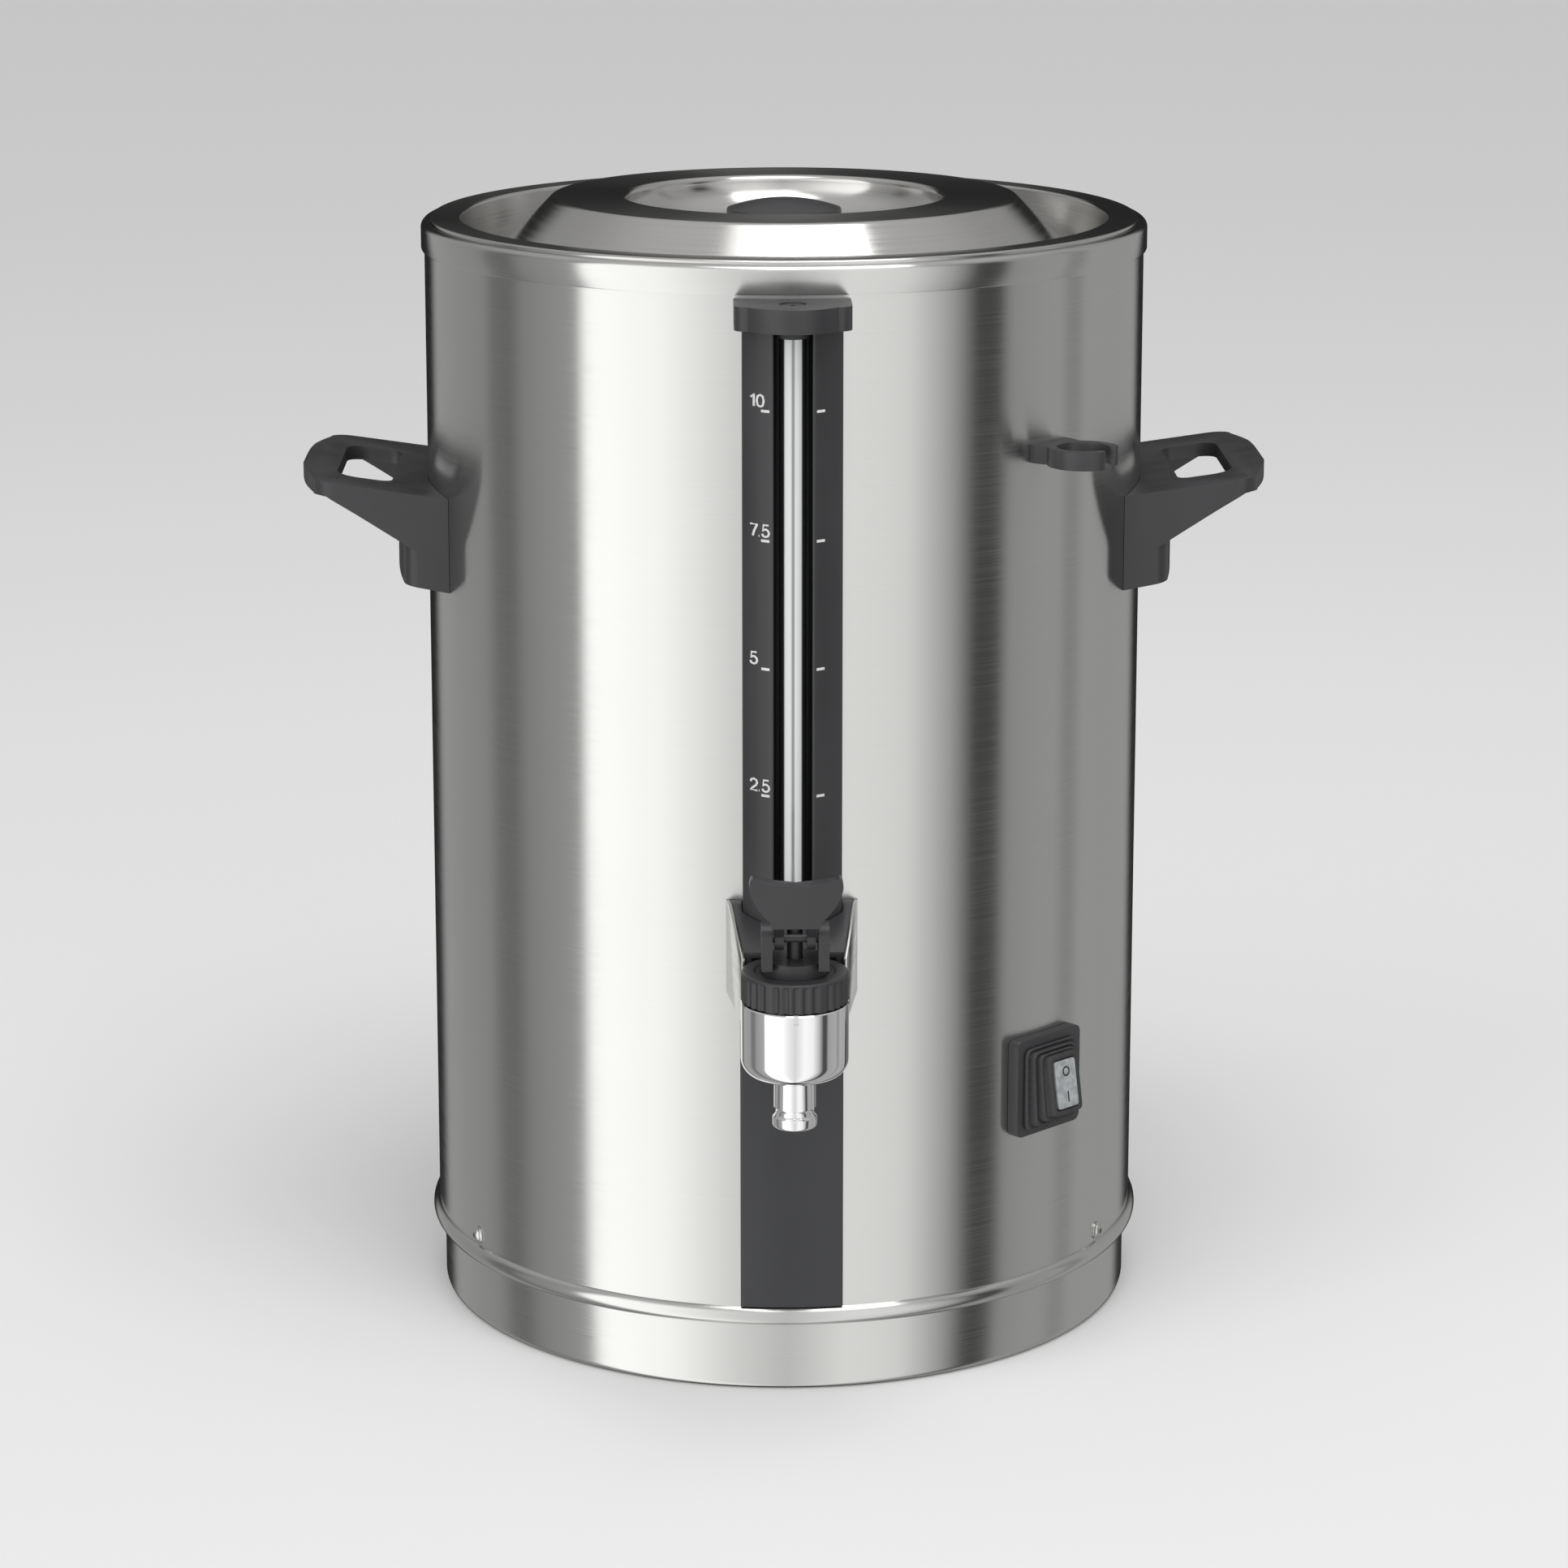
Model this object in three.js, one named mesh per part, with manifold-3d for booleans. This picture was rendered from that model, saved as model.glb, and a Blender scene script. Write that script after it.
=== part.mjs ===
// Ten-litre heated drinks container with a front tap: a double-walled steel drum on a base tray,
// with a drop-in lid, a level gauge, a spring-closed tap, two side handles and a rocker switch.
// Millimetres, +Z up. The origin is on the drum's axis, in the plane it stands on; the tap faces -Y.
import * as THREE from "three";
import { mergeVertices } from "three/addons/utils/BufferGeometryUtils.js";
import Module from "manifold-3d";

const wasm = await Module();
wasm.setup();

const DEG = Math.PI / 180;

// ---- driving dimensions ----

const ROUND_STEPS = 40; // facets round the drum
const GAP = 0.3; // left between pieces that touch
const JOINT_PLAY = 0.3; // round a pin or stem that turns or slides

const JACKET_RADIUS = 142.5;
const JACKET_WALL = 0.8;
const JACKET_FOOT = 27.5; // lower edge of the rolled bead
const BEAD_HEIGHT = 7.2;
const BEAD_PROUD = 2.5;
const RIM_HEIGHT = 438; // top of the collar

const TRAY_RADIUS = 140.25;
const TRAY_WALL = 1;
const TRAY_DEPTH = 50;
const TRAY_CORNER = 3;
const BASE_SCREW_HEIGHT = 39;
const BASE_SCREW_SPREAD = 60; // degrees either side of the front

const COLLAR_PROUD = 1.3; // beyond the jacket
const COLLAR_WALL = 1;
const COLLAR_SKIRT = 10.9;
const COLLAR_ROUND = 2.5;

const VESSEL_RADIUS = 128.4; // inside
const VESSEL_WALL = 0.8;
const VESSEL_CORNER = 8;
const LITRE_RISE = 19.3; // height of one litre in the vessel
const FULL_MARK = 386.8; // height of the ten-litre mark
const FULL_LITRES = 10;

const LID_SHEET = 0.8;
const LID_FLANGE_RADIUS = 140;
const LID_FLANGE_RISE = 1.5; // above the collar
const LID_WELL_RADIUS = 128;
const LID_WELL_DEPTH = 20.5;
const LID_WELL_ROUND = 4;
const LID_PLATEAU_RADIUS = 91.7;
const LID_PLATEAU_RISE = 9; // above the collar
const LID_DISH_RADIUS = 62.6;
const LID_DISH_DEPTH = 17;
const LID_DISH_FLOOR = 36; // radius of the dish's flat middle
const KNOB_RADIUS = 22.8;
const KNOB_DOME = 4;
const KNOB_BELOW_PLATEAU = 1.6;
const KNOB_THICKNESS = 3.8; // under the dome
const KNOB_STEM_RADIUS = 9;

const GAUGE_HALF_WIDTH = 18.6;
const GAUGE_GROOVE_HALF = 7.1;
const GAUGE_GROOVE_FLOOR = 5.5;
const GAUGE_SHOULDER = [
  [GAUGE_HALF_WIDTH, 8.3],
  [18.1, 9.5],
  [16.2, 11.6],
  [13.2, 14.2],
  [10.2, 16.3],
  [7.8, 17.7],
  [GAUGE_GROOVE_HALF, 17.1],
]; // distance from the gauge's middle, from the jacket
const GAUGE_TOP = 416.4;
const GLASS_RADIUS = 5;
const GLASS_BORE = 3.6;
const GLASS_OUT = 12; // axis, from the jacket
const GAUGE_PORT_RADIUS = 2.5; // waterway from the tap's shank up to the glass
const SEAL_RADIUS = 6.2;
const CAP_HALF_WIDTH = 21.6;
const CAP_HEIGHT = 8.9;
const CAP_OUT_ENDS = 20.5;
const CAP_OUT_MIDDLE = 29;
const CAP_CORNER = 5;
const CAP_VENT_RADIUS = 1;

const TAP_OUT = 47.5; // tap axis, from the jacket
const CUP_RADIUS = 20;
const CUP_BOTTOM = 144;
const CUP_TOP = 172.4;
const CUP_CORNER = 7;
const CHAMBER_RADIUS = 12.6;
const NECK_RADIUS = 16.5;
const NECK_HEIGHT = 4.6;
const SPOUT_RADIUS = 7.8;
const SPOUT_BORE = 5.6;
const SPOUT_BOTTOM = 124.2;
const SHANK_HEIGHT = 163;
const SHANK_RADIUS = 8;
const SHANK_BORE = 5.2;
const SHANK_INSIDE = 14.5; // length behind the jacket
const RING_NUT_RADIUS = 19.8;
const RING_NUT_HEIGHT = 11.3;
const RING_NUT_LIP = 3;
const RING_NUT_GROUPS = 6;
const RING_NUT_RIBS = 4; // per group
const BARREL_RADIUS = 12.1;
const BARREL_TOP = 189;
const STEM_RADIUS = 2.9;
const PIN_RADIUS = 1.5;
const PIN_FORWARD = 6; // hinge pin, in front of the stem
const PIN_HEIGHT = 198;
const CHEEK_INNER = 8.4;
const CHEEK_THICKNESS = 4;
const CHEEK_RADIUS = 6.4;
const ARM_INNER = 4.3;
const ARM_THICKNESS = 3.2;
const ARM_NOSE = 2;
const PADDLE_TOP = 225.5;
const PADDLE_HALF_WIDTH = 17;
const PADDLE_WAIST = 8.8;
const PADDLE_THICKNESS = 6.5;
const PADDLE_LEAN = 19; // degrees, forward
const SHROUD_HALF_WIDTH = 24.6;
const SHROUD_BOTTOM = 161;
const SHROUD_TOP = 197;
const SHROUD_SHEET = 1.2;
const SHROUD_TAPER = 0.134;
const SHROUD_REACH = 38;
const SHROUD_FRONT_TOP = 185.5;

const STRIP_HALF_WIDTH = 19.7;
const STRIP_THICKNESS = 1.2;

const HANDLE_HALF_WIDTH = 54;
const HANDLE_OUT_ENDS = 42.5; // from the jacket's radius
const HANDLE_OUT_MIDDLE = 49.5;
const HANDLE_CORNER = 8;
const HANDLE_TOP = 336; // at the jacket
const HANDLE_SLOPE = 0.14;
const HANDLE_PLATE = 5.5;
const HANDLE_GRIP = 15;
const HANDLE_SLOT_HALF = 34;
const HANDLE_BLOCK_OUT = 11.8;
const HANDLE_BLOCK_ENDS_OUT = 7.5;
const HANDLE_BLOCK_BOTTOM = 298;
const HANDLE_GUSSET = 4;
const HANDLE_GUSSET_START = 1.5; // from the jacket
const HANDLE_GUSSET_END = 39.5;
const HANDLE_GUSSET_EDGE = [
  [HANDLE_GUSSET_START, 313.4],
  [7.5, 317.2],
  [25, 328.4],
  [36.6, 335.5],
  [HANDLE_GUSSET_END, 337.5],
]; // distance from the jacket, height
const HANDLE_WALL = 3;
const HANDLE_SCREW_SPREAD = 12; // degrees either side of the handle's middle
const HANDLE_SCREW_HEIGHT = 318;

const CLIP_AZIMUTH = 43.6;
const CLIP_TOP = 365.5;
const CLIP_THICKNESS = 7;
const CLIP_BORE = 10;
const CLIP_WALL = 3.5;
const CLIP_OUT = 17; // ring centre, from the jacket
const CLIP_MOUTH = 70; // degrees
const CLIP_MOUTH_TURN = 20; // degrees, from straight out
const CLIP_BASE_HALF = 10.5;

const SWITCH_AZIMUTH = 43.5;
const SWITCH_HEIGHT = 113.1;
const SWITCH_BEZEL_WIDTH = 36;
const SWITCH_BEZEL_HEIGHT = 39;
const SWITCH_BEZEL_OUT = 4; // front, from the jacket
const SWITCH_BODY_WIDTH = 27;
const SWITCH_BODY_HEIGHT = 30;
const SWITCH_BODY_DEPTH = 25;
const SWITCH_FACE_WIDTH = 17;
const SWITCH_FACE_HEIGHT = 24.2;
const SWITCH_FACE_OUT = 13; // middle of the rocker's face, from the jacket
const SWITCH_TILT = 8.6; // degrees; the travel is twice this
const SWITCH_FACE_RADIUS = 12; // face, from the pivot
const BOOT_WALL = 1;

const INLET_HEIGHT = 75;
const INLET_FLANGE_WIDTH = 32;
const INLET_FLANGE_HEIGHT = 25;
const INLET_FLANGE_OUT = 4;
const INLET_BODY_WIDTH = 27;
const INLET_BODY_HEIGHT = 19.6;
const INLET_BODY_DEPTH = 22;
const INLET_RECESS_WIDTH = 24.4;
const INLET_RECESS_HEIGHT = 16.8;
const INLET_RECESS_DEPTH = 17.5;
const INLET_RECESS_CHAMFER = 4;
const INLET_PIN_PITCH = 7;
const INLET_PIN_DROP = 2; // live and neutral below the middle, earth above it

const HEATER_RADIUS = 88;
const HEATER_THICKNESS = 5;
const ELEMENT_RING = 62;
const ELEMENT_RADIUS = 4;
const ELEMENT_SWEEP = 300; // degrees
const OUTLET_OFFSET = 105; // vessel outlet, in front of the axis
const INSULATION_THICKNESS = 9.5;

// ---- places that follow from them ----

const vesselFloor = FULL_MARK - FULL_LITRES * LITRE_RISE;
const vesselUnderside = vesselFloor - VESSEL_WALL;
const shelf = RIM_HEIGHT - 1.2; // ledge in the collar that the lid rests on
const flangeTop = shelf - COLLAR_WALL - 0.4; // vessel flange, under that ledge
const jacketTop = flangeTop - VESSEL_WALL - GAP;
const jacketInside = JACKET_RADIUS - JACKET_WALL;
const collarRadius = JACKET_RADIUS + COLLAR_PROUD;
const tapY = -(JACKET_RADIUS + TAP_OUT);
const glassY = -(JACKET_RADIUS + GLASS_OUT);
const pinY = tapY - PIN_FORWARD;
const boreOf = (radius) => radius + GAP;
// Furthest out that a flat face of some half-width reaches inside the jacket.
const behindWall = (half) =>
  jacketInside * Math.cos(Math.PI / ROUND_STEPS) - half ** 2 / (2 * jacketInside) - GAP / 2;

// ---- outlines, in the plane of each profile ----

function arc(cx, cy, radius, from, to, steps) {
  const points = [];
  for (let i = 0; i <= steps; i += 1) {
    const a = (from + ((to - from) * i) / steps) * DEG;
    points.push([cx + radius * Math.cos(a), cy + radius * Math.sin(a)]);
  }
  return points;
}

const circle = (radius, steps, cx = 0, cy = 0) => arc(cx, cy, radius, 0, 360, steps).slice(0, -1);

function rectangle(halfX, halfY, cx = 0, cy = 0) {
  return [
    [cx - halfX, cy - halfY],
    [cx + halfX, cy - halfY],
    [cx + halfX, cy + halfY],
    [cx - halfX, cy + halfY],
  ];
}

function roundedRectangle(halfX, halfY, radius, cx = 0, cy = 0) {
  const x = halfX - radius;
  const y = halfY - radius;
  return [
    ...arc(cx + x, cy - y, radius, -90, 0, 3),
    ...arc(cx + x, cy + y, radius, 0, 90, 3),
    ...arc(cx - x, cy + y, radius, 90, 180, 3),
    ...arc(cx - x, cy - y, radius, 180, 270, 3),
  ];
}

// Closed outline of a sheet of even thickness, whose face follows a line and whose back lies
// to the right of the line's direction.
function sheet(line, thickness) {
  const back = line.map(([x, y], i) => {
    const before = line[Math.max(i - 1, 0)];
    const after = line[Math.min(i + 1, line.length - 1)];
    const turnIn = Math.atan2(y - before[1], x - before[0]);
    const turnOut = Math.atan2(after[1] - y, after[0] - x);
    const inAngle = i === 0 ? turnOut : turnIn;
    let bend = (i === line.length - 1 ? turnIn : turnOut) - inAngle;
    bend = Math.atan2(Math.sin(bend), Math.cos(bend));
    const normal = inAngle + bend / 2 - Math.PI / 2;
    const reach = thickness / Math.cos(bend / 2);
    return [x + reach * Math.cos(normal), y + reach * Math.sin(normal)];
  });
  return [...line, ...back.reverse()];
}

// Plan outline, as [x, -y], of a piece whose front bows outwards and has rounded corners.
function bowed(halfWidth, ends, middle, inner, corner) {
  const side = (sign) => arc(sign * (halfWidth - corner), ends - corner, corner, 90 - sign * 90, 90, 3);
  const front = [];
  const reach = halfWidth - corner;
  for (let i = 1; i < 6; i += 1) {
    const x = reach - (2 * reach * i) / 6;
    front.push([x, ends + (middle - ends) * (1 - (x / reach) ** 2)]);
  }
  return [[-halfWidth, inner], [halfWidth, inner], ...side(1), ...front, ...side(-1).reverse()];
}

// ---- solids ----

function solid(geometry) {
  const bare = geometry.clone();
  bare.deleteAttribute("normal");
  bare.deleteAttribute("uv");
  const merged = mergeVertices(bare, 1e-4);
  const source = merged.index.array;
  const kept = [];
  for (let i = 0; i < source.length; i += 3) {
    const [a, b, c] = [source[i], source[i + 1], source[i + 2]];
    if (a !== b && b !== c && c !== a) {
      kept.push(a, b, c);
    }
  }
  const vertProperties = Float32Array.from(merged.attributes.position.array);
  const triVerts = Uint32Array.from(kept);
  return new wasm.Manifold(new wasm.Mesh({ numProp: 3, vertProperties, triVerts }));
}

function geometryOf(body) {
  const { vertProperties, triVerts } = body.getMesh();
  const geometry = new THREE.BufferGeometry();
  geometry.setAttribute("position", new THREE.BufferAttribute(Float32Array.from(vertProperties), 3));
  geometry.setIndex(new THREE.BufferAttribute(Uint32Array.from(triVerts), 1));
  geometry.computeVertexNormals();
  return geometry;
}

// Points run counter-clockwise, outlines and holes alike.
function pointsOf(outline) {
  const points = outline.map(([x, y]) => new THREE.Vector2(x, y));
  return THREE.ShapeUtils.isClockWise(points) ? points.reverse() : points;
}

// Profile as [radius, z]. It starts and ends on the axis or closes on itself.
function turned(profile, steps = ROUND_STEPS, y = 0) {
  const points = pointsOf(profile);
  if (points[0].x > 0) {
    points.push(points[0]);
  }
  const geometry = new THREE.LatheGeometry(points, steps);
  geometry.rotateX(Math.PI / 2);
  geometry.translate(0, y, 0);
  return solid(geometry);
}

function shapeOf(outline, holes = []) {
  const shape = new THREE.Shape(pointsOf(outline));
  for (const hole of holes) {
    shape.holes.push(new THREE.Path(pointsOf(hole)));
  }
  return shape;
}

const extruded = (outline, depth, holes) =>
  new THREE.ExtrudeGeometry(shapeOf(outline, holes), { depth, bevelEnabled: false });

// Outline as [x, -y]: seen from above, with the drum's front up.
function planPrism(outline, bottom, top, holes = []) {
  const flip = (points) => points.map(([x, out]) => [x, -out]);
  const geometry = extruded(flip(outline), top - bottom, holes.map(flip));
  geometry.translate(0, 0, bottom);
  return solid(geometry);
}

// Outline as [-y, z]: seen from the side, between two x places.
function sidePrism(outline, left, right) {
  const geometry = extruded(outline, right - left);
  geometry.applyMatrix4(
    new THREE.Matrix4().makeBasis(
      new THREE.Vector3(0, -1, 0),
      new THREE.Vector3(0, 0, 1),
      new THREE.Vector3(-1, 0, 0),
    ),
  );
  geometry.translate(right, 0, 0);
  return solid(geometry);
}

// Outline as [x, z]: seen from the front, between two distances from the drum's axis.
function facePrism(outline, inner, outer, tilt = 0, pivot = [0, 0]) {
  const geometry = extruded(outline, outer - inner);
  geometry.rotateX(Math.PI / 2);
  geometry.translate(0, -inner, 0);
  geometry.translate(0, pivot[0], -pivot[1]);
  geometry.rotateX(-tilt * DEG);
  geometry.translate(0, -pivot[0], pivot[1]);
  return solid(geometry);
}

function rod(radius, inner, outer, z, steps = 12) {
  const geometry = new THREE.CylinderGeometry(radius, radius, outer - inner, steps);
  geometry.translate(0, -(inner + outer) / 2, z);
  return geometry;
}

function crossRod(radius, left, right, y, z) {
  const geometry = new THREE.CylinderGeometry(radius, radius, right - left, 12);
  geometry.rotateZ(Math.PI / 2);
  geometry.translate((left + right) / 2, y, z);
  return solid(geometry);
}

function tubeAlong(curve, radius, bore, steps, sides = 12) {
  const holes = bore > 0 ? [circle(bore, sides)] : [];
  const shape = shapeOf(circle(radius, sides), holes);
  return solid(new THREE.ExtrudeGeometry(shape, { steps, extrudePath: curve, bevelEnabled: false }));
}

const joined = (...bodies) => bodies.reduce((a, b) => a.add(b));
const cutFrom = (body, ...tools) => tools.reduce((a, b) => a.subtract(b), body);
const atAzimuth = (geometry, degrees) => solid(geometry.clone().rotateZ(degrees * DEG));

// The drum's outer face with the clearance that everything fixed on it keeps.
const drumFaceRadius = boreOf(JACKET_RADIUS) / Math.cos(Math.PI / ROUND_STEPS);
const drumFace = turned([
  [0, 0],
  [drumFaceRadius, 0],
  [drumFaceRadius, RIM_HEIGHT],
  [0, RIM_HEIGHT],
]);

// ---- finishes ----

const finish = (color, roughness, metalness) =>
  new THREE.MeshStandardMaterial({ color, roughness, metalness });
const brushedSteel = () => finish(0x8c8c88, 0.35, 1);
const chrome = () => finish(0xd8d8d8, 0.08, 1);
const blackPlastic = () => finish(0x3c3c3e, 0.55, 0);
const blackRubber = () => finish(0x29292b, 0.75, 0);
const clearGlass = () =>
  new THREE.MeshStandardMaterial({ color: 0xe8eeee, roughness: 0.05, transparent: true, opacity: 0.35 });
const lamp = () => finish(0xb9bcbc, 0.3, 0);
const aluminium = () => finish(0xb4b6b8, 0.5, 1);
const brass = () => finish(0xb59a5a, 0.3, 1);
const wool = () => finish(0xc9bd9c, 0.95, 0);
const paleCeramic = () => finish(0xd9d4c6, 0.6, 0);
const redRubber = () => finish(0x9a3b30, 0.7, 0);

const kettle = new THREE.Group();

function place(name, body, material, azimuth = 0) {
  const mesh = new THREE.Mesh(geometryOf(body), material);
  mesh.name = name;
  mesh.rotation.z = azimuth * DEG;
  kettle.add(mesh);
}

// A screw that points out from the drum, head inwards: both spans are distances from the axis.
const innerScrew = (radius, head, headFrom, headTo, tip, z) =>
  joined(solid(rod(head, headFrom, headTo, z)), solid(rod(radius, headTo - 0.01, tip, z)));

// ---- base tray, jacket, collar and their screws ----

const baseScrewAzimuths = [-BASE_SCREW_SPREAD, BASE_SCREW_SPREAD, 180];
const BASE_SCREW_RADIUS = 1.9;
const BASE_SCREW_HEAD = 3.4;
const BASE_SCREW_HEAD_HEIGHT = 1.9;
const baseScrewHoles = baseScrewAzimuths.map((azimuth) =>
  atAzimuth(rod(boreOf(BASE_SCREW_RADIUS), TRAY_RADIUS - 8, JACKET_RADIUS + 8, BASE_SCREW_HEIGHT), azimuth),
);

function baseTray() {
  const line = [
    [0, 0],
    ...arc(TRAY_RADIUS - TRAY_CORNER, TRAY_CORNER, TRAY_CORNER, -90, 0, 2),
    [TRAY_RADIUS, TRAY_DEPTH],
  ];
  const back = [
    [TRAY_RADIUS - TRAY_WALL, TRAY_DEPTH],
    ...arc(TRAY_RADIUS - TRAY_CORNER, TRAY_CORNER, TRAY_CORNER - TRAY_WALL, 0, -90, 2),
    [0, TRAY_WALL],
  ];
  return cutFrom(turned([...line, ...back]), ...baseScrewHoles);
}
place("base_tray", baseTray(), brushedSteel());

const handleAzimuths = { right: 90, left: -90 };
const HANDLE_SCREW_RADIUS = 2;
const SCREW_HEAD = 4;
const handleScrewAzimuths = Object.entries(handleAzimuths).flatMap(([side, azimuth]) =>
  [-1, 1].map((sign, i) => ({
    name: `handle_screw_${side}_${i + 1}`,
    azimuth: azimuth + sign * HANDLE_SCREW_SPREAD,
  })),
);
const CLIP_SCREW_RADIUS = 1.5;
const clipMiddle = CLIP_TOP - CLIP_THICKNESS / 2;
const wallHole = (radius, z, azimuth) =>
  atAzimuth(rod(radius, JACKET_RADIUS - 20, JACKET_RADIUS + 20, z), azimuth);

function wallWindow(width, height, z, azimuth) {
  const geometry = new THREE.BoxGeometry(width + 2 * GAP, 40, height + 2 * GAP);
  geometry.translate(0, -JACKET_RADIUS, z);
  return atAzimuth(geometry, azimuth);
}

function outerJacket() {
  const half = BEAD_HEIGHT / 2;
  const radius = (half ** 2 + BEAD_PROUD ** 2) / (2 * BEAD_PROUD);
  const cx = JACKET_RADIUS + BEAD_PROUD - radius;
  const cz = JACKET_FOOT + half;
  const swing = Math.asin(half / radius) / DEG;
  const tube = turned([
    ...arc(cx, cz, radius, -swing, swing, 4),
    [JACKET_RADIUS, jacketTop],
    [jacketInside, jacketTop],
    [jacketInside, cz + half],
    ...arc(cx, cz, radius - JACKET_WALL, swing, -swing, 4),
  ]);
  return cutFrom(
    tube,
    ...baseScrewHoles,
    ...handleScrewAzimuths.map(({ azimuth }) =>
      wallHole(boreOf(HANDLE_SCREW_RADIUS), HANDLE_SCREW_HEIGHT, azimuth),
    ),
    wallHole(boreOf(CLIP_SCREW_RADIUS), clipMiddle, CLIP_AZIMUTH),
    wallHole(boreOf(SHANK_RADIUS), SHANK_HEIGHT, 0),
    wallWindow(SWITCH_BODY_WIDTH, SWITCH_BODY_HEIGHT, SWITCH_HEIGHT, SWITCH_AZIMUTH),
    wallWindow(INLET_BODY_WIDTH, INLET_BODY_HEIGHT, INLET_HEIGHT, 180),
  );
}
place("outer_jacket", outerJacket(), brushedSteel());

baseScrewAzimuths.forEach((azimuth, i) => {
  const seat = JACKET_RADIUS + GAP;
  const head = solid(rod(BASE_SCREW_HEAD, seat, seat + BASE_SCREW_HEAD_HEIGHT, BASE_SCREW_HEIGHT));
  const shank = solid(rod(BASE_SCREW_RADIUS, TRAY_RADIUS - 6, seat + 0.1, BASE_SCREW_HEIGHT));
  place(`base_screw_${i + 1}`, joined(head, shank), chrome(), azimuth);
});

function rimCollar() {
  const roundCentre = [collarRadius - COLLAR_ROUND, RIM_HEIGHT - COLLAR_ROUND];
  const lidEdge = LID_FLANGE_RADIUS + 0.5;
  const inside = collarRadius - COLLAR_WALL;
  return turned([
    [inside, RIM_HEIGHT - COLLAR_SKIRT],
    [collarRadius, RIM_HEIGHT - COLLAR_SKIRT],
    ...arc(roundCentre[0], roundCentre[1], COLLAR_ROUND, 0, 90, 3),
    [lidEdge + 0.2, RIM_HEIGHT],
    [lidEdge, shelf],
    [VESSEL_RADIUS + 1.3, shelf],
    [VESSEL_RADIUS + 1.3, shelf - COLLAR_WALL],
    [inside, shelf - COLLAR_WALL],
  ]);
}
place("rim_collar", rimCollar(), brushedSteel());

// ---- inner vessel, its outlet and the insulation round it ----

const STUD_RADIUS = 3;
const heaterTop = vesselUnderside - GAP;
const heaterUnderside = heaterTop - HEATER_THICKNESS;
const elementMiddle = heaterUnderside - GAP - ELEMENT_RADIUS;
const CLAMP_THICKNESS = 3;
const clampTop = elementMiddle - ELEMENT_RADIUS - GAP;
const studEnd = clampTop - CLAMP_THICKNESS - 8;

function innerVessel() {
  const outside = VESSEL_RADIUS + VESSEL_WALL;
  const corner = vesselFloor + VESSEL_CORNER;
  const shell = turned([
    [0, studEnd],
    [STUD_RADIUS, studEnd],
    [STUD_RADIUS, vesselUnderside],
    ...arc(VESSEL_RADIUS - VESSEL_CORNER, corner, VESSEL_CORNER + VESSEL_WALL, -90, 0, 3),
    [outside, flangeTop - VESSEL_WALL],
    [JACKET_RADIUS - 0.1, flangeTop - VESSEL_WALL],
    [JACKET_RADIUS - 0.1, flangeTop],
    [VESSEL_RADIUS, flangeTop],
    ...arc(VESSEL_RADIUS - VESSEL_CORNER, corner, VESSEL_CORNER, 0, -90, 3),
    [0, vesselFloor],
  ]);
  const outlet = new THREE.CylinderGeometry(boreOf(SHANK_RADIUS), boreOf(SHANK_RADIUS), 20, 16);
  outlet.rotateX(Math.PI / 2);
  outlet.translate(0, -OUTLET_OFFSET, vesselFloor);
  return cutFrom(shell, solid(outlet));
}
place("inner_vessel", innerVessel(), brushedSteel());

const shankEnd = JACKET_RADIUS - SHANK_INSIDE;

function outletPipe() {
  const bend = 16;
  const path = new THREE.CurvePath();
  const at = (out, z) => new THREE.Vector3(0, -out, z);
  path.add(new THREE.LineCurve3(at(OUTLET_OFFSET, vesselFloor), at(OUTLET_OFFSET, SHANK_HEIGHT + bend)));
  path.add(
    new THREE.QuadraticBezierCurve3(
      at(OUTLET_OFFSET, SHANK_HEIGHT + bend),
      at(OUTLET_OFFSET, SHANK_HEIGHT),
      at(OUTLET_OFFSET + bend, SHANK_HEIGHT),
    ),
  );
  path.add(new THREE.LineCurve3(at(OUTLET_OFFSET + bend, SHANK_HEIGHT), at(shankEnd - GAP, SHANK_HEIGHT)));
  return tubeAlong(path, SHANK_RADIUS, SHANK_BORE, 10, 10);
}
place("outlet_pipe", outletPipe(), brushedSteel());

const SLEEVE_WALL = 2;
const sleeve = cutFrom(
  solid(rod(boreOf(SHANK_RADIUS) + SLEEVE_WALL, shankEnd - 5, shankEnd + 4, SHANK_HEIGHT)),
  solid(rod(boreOf(SHANK_RADIUS), shankEnd - 6, shankEnd + 5, SHANK_HEIGHT)),
);
place("outlet_sleeve", sleeve, redRubber());

function insulation() {
  const inner = VESSEL_RADIUS + VESSEL_WALL + 1.2;
  const outer = inner + INSULATION_THICKNESS;
  const ring = turned([
    [inner, vesselFloor + 3],
    [outer, vesselFloor + 3],
    [outer, RIM_HEIGHT - 14],
    [inner, RIM_HEIGHT - 14],
  ]);
  const reliefs = handleScrewAzimuths.map(({ azimuth }) =>
    wallHole(SCREW_HEAD + 2, HANDLE_SCREW_HEIGHT, azimuth),
  );
  return cutFrom(ring, ...reliefs, wallHole(SCREW_HEAD + 2, clipMiddle, CLIP_AZIMUTH));
}
place("insulation_sleeve", insulation(), wool());

// ---- heater under the vessel ----

const heaterPlate = turned([
  [boreOf(STUD_RADIUS), heaterUnderside],
  [HEATER_RADIUS, heaterUnderside],
  [HEATER_RADIUS, heaterTop],
  [boreOf(STUD_RADIUS), heaterTop],
], 40);
place("heater_plate", heaterPlate, aluminium());

class RingCurve extends THREE.Curve {
  getPoint(t, target = new THREE.Vector3()) {
    const a = (90 - ELEMENT_SWEEP / 2 + ELEMENT_SWEEP * t) * DEG;
    return target.set(ELEMENT_RING * Math.cos(a), ELEMENT_RING * Math.sin(a), elementMiddle);
  }
}
place("heater_element", tubeAlong(new RingCurve(), ELEMENT_RADIUS, 0, 30, 6), finish(0x4a4a48, 0.5, 1));

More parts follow.
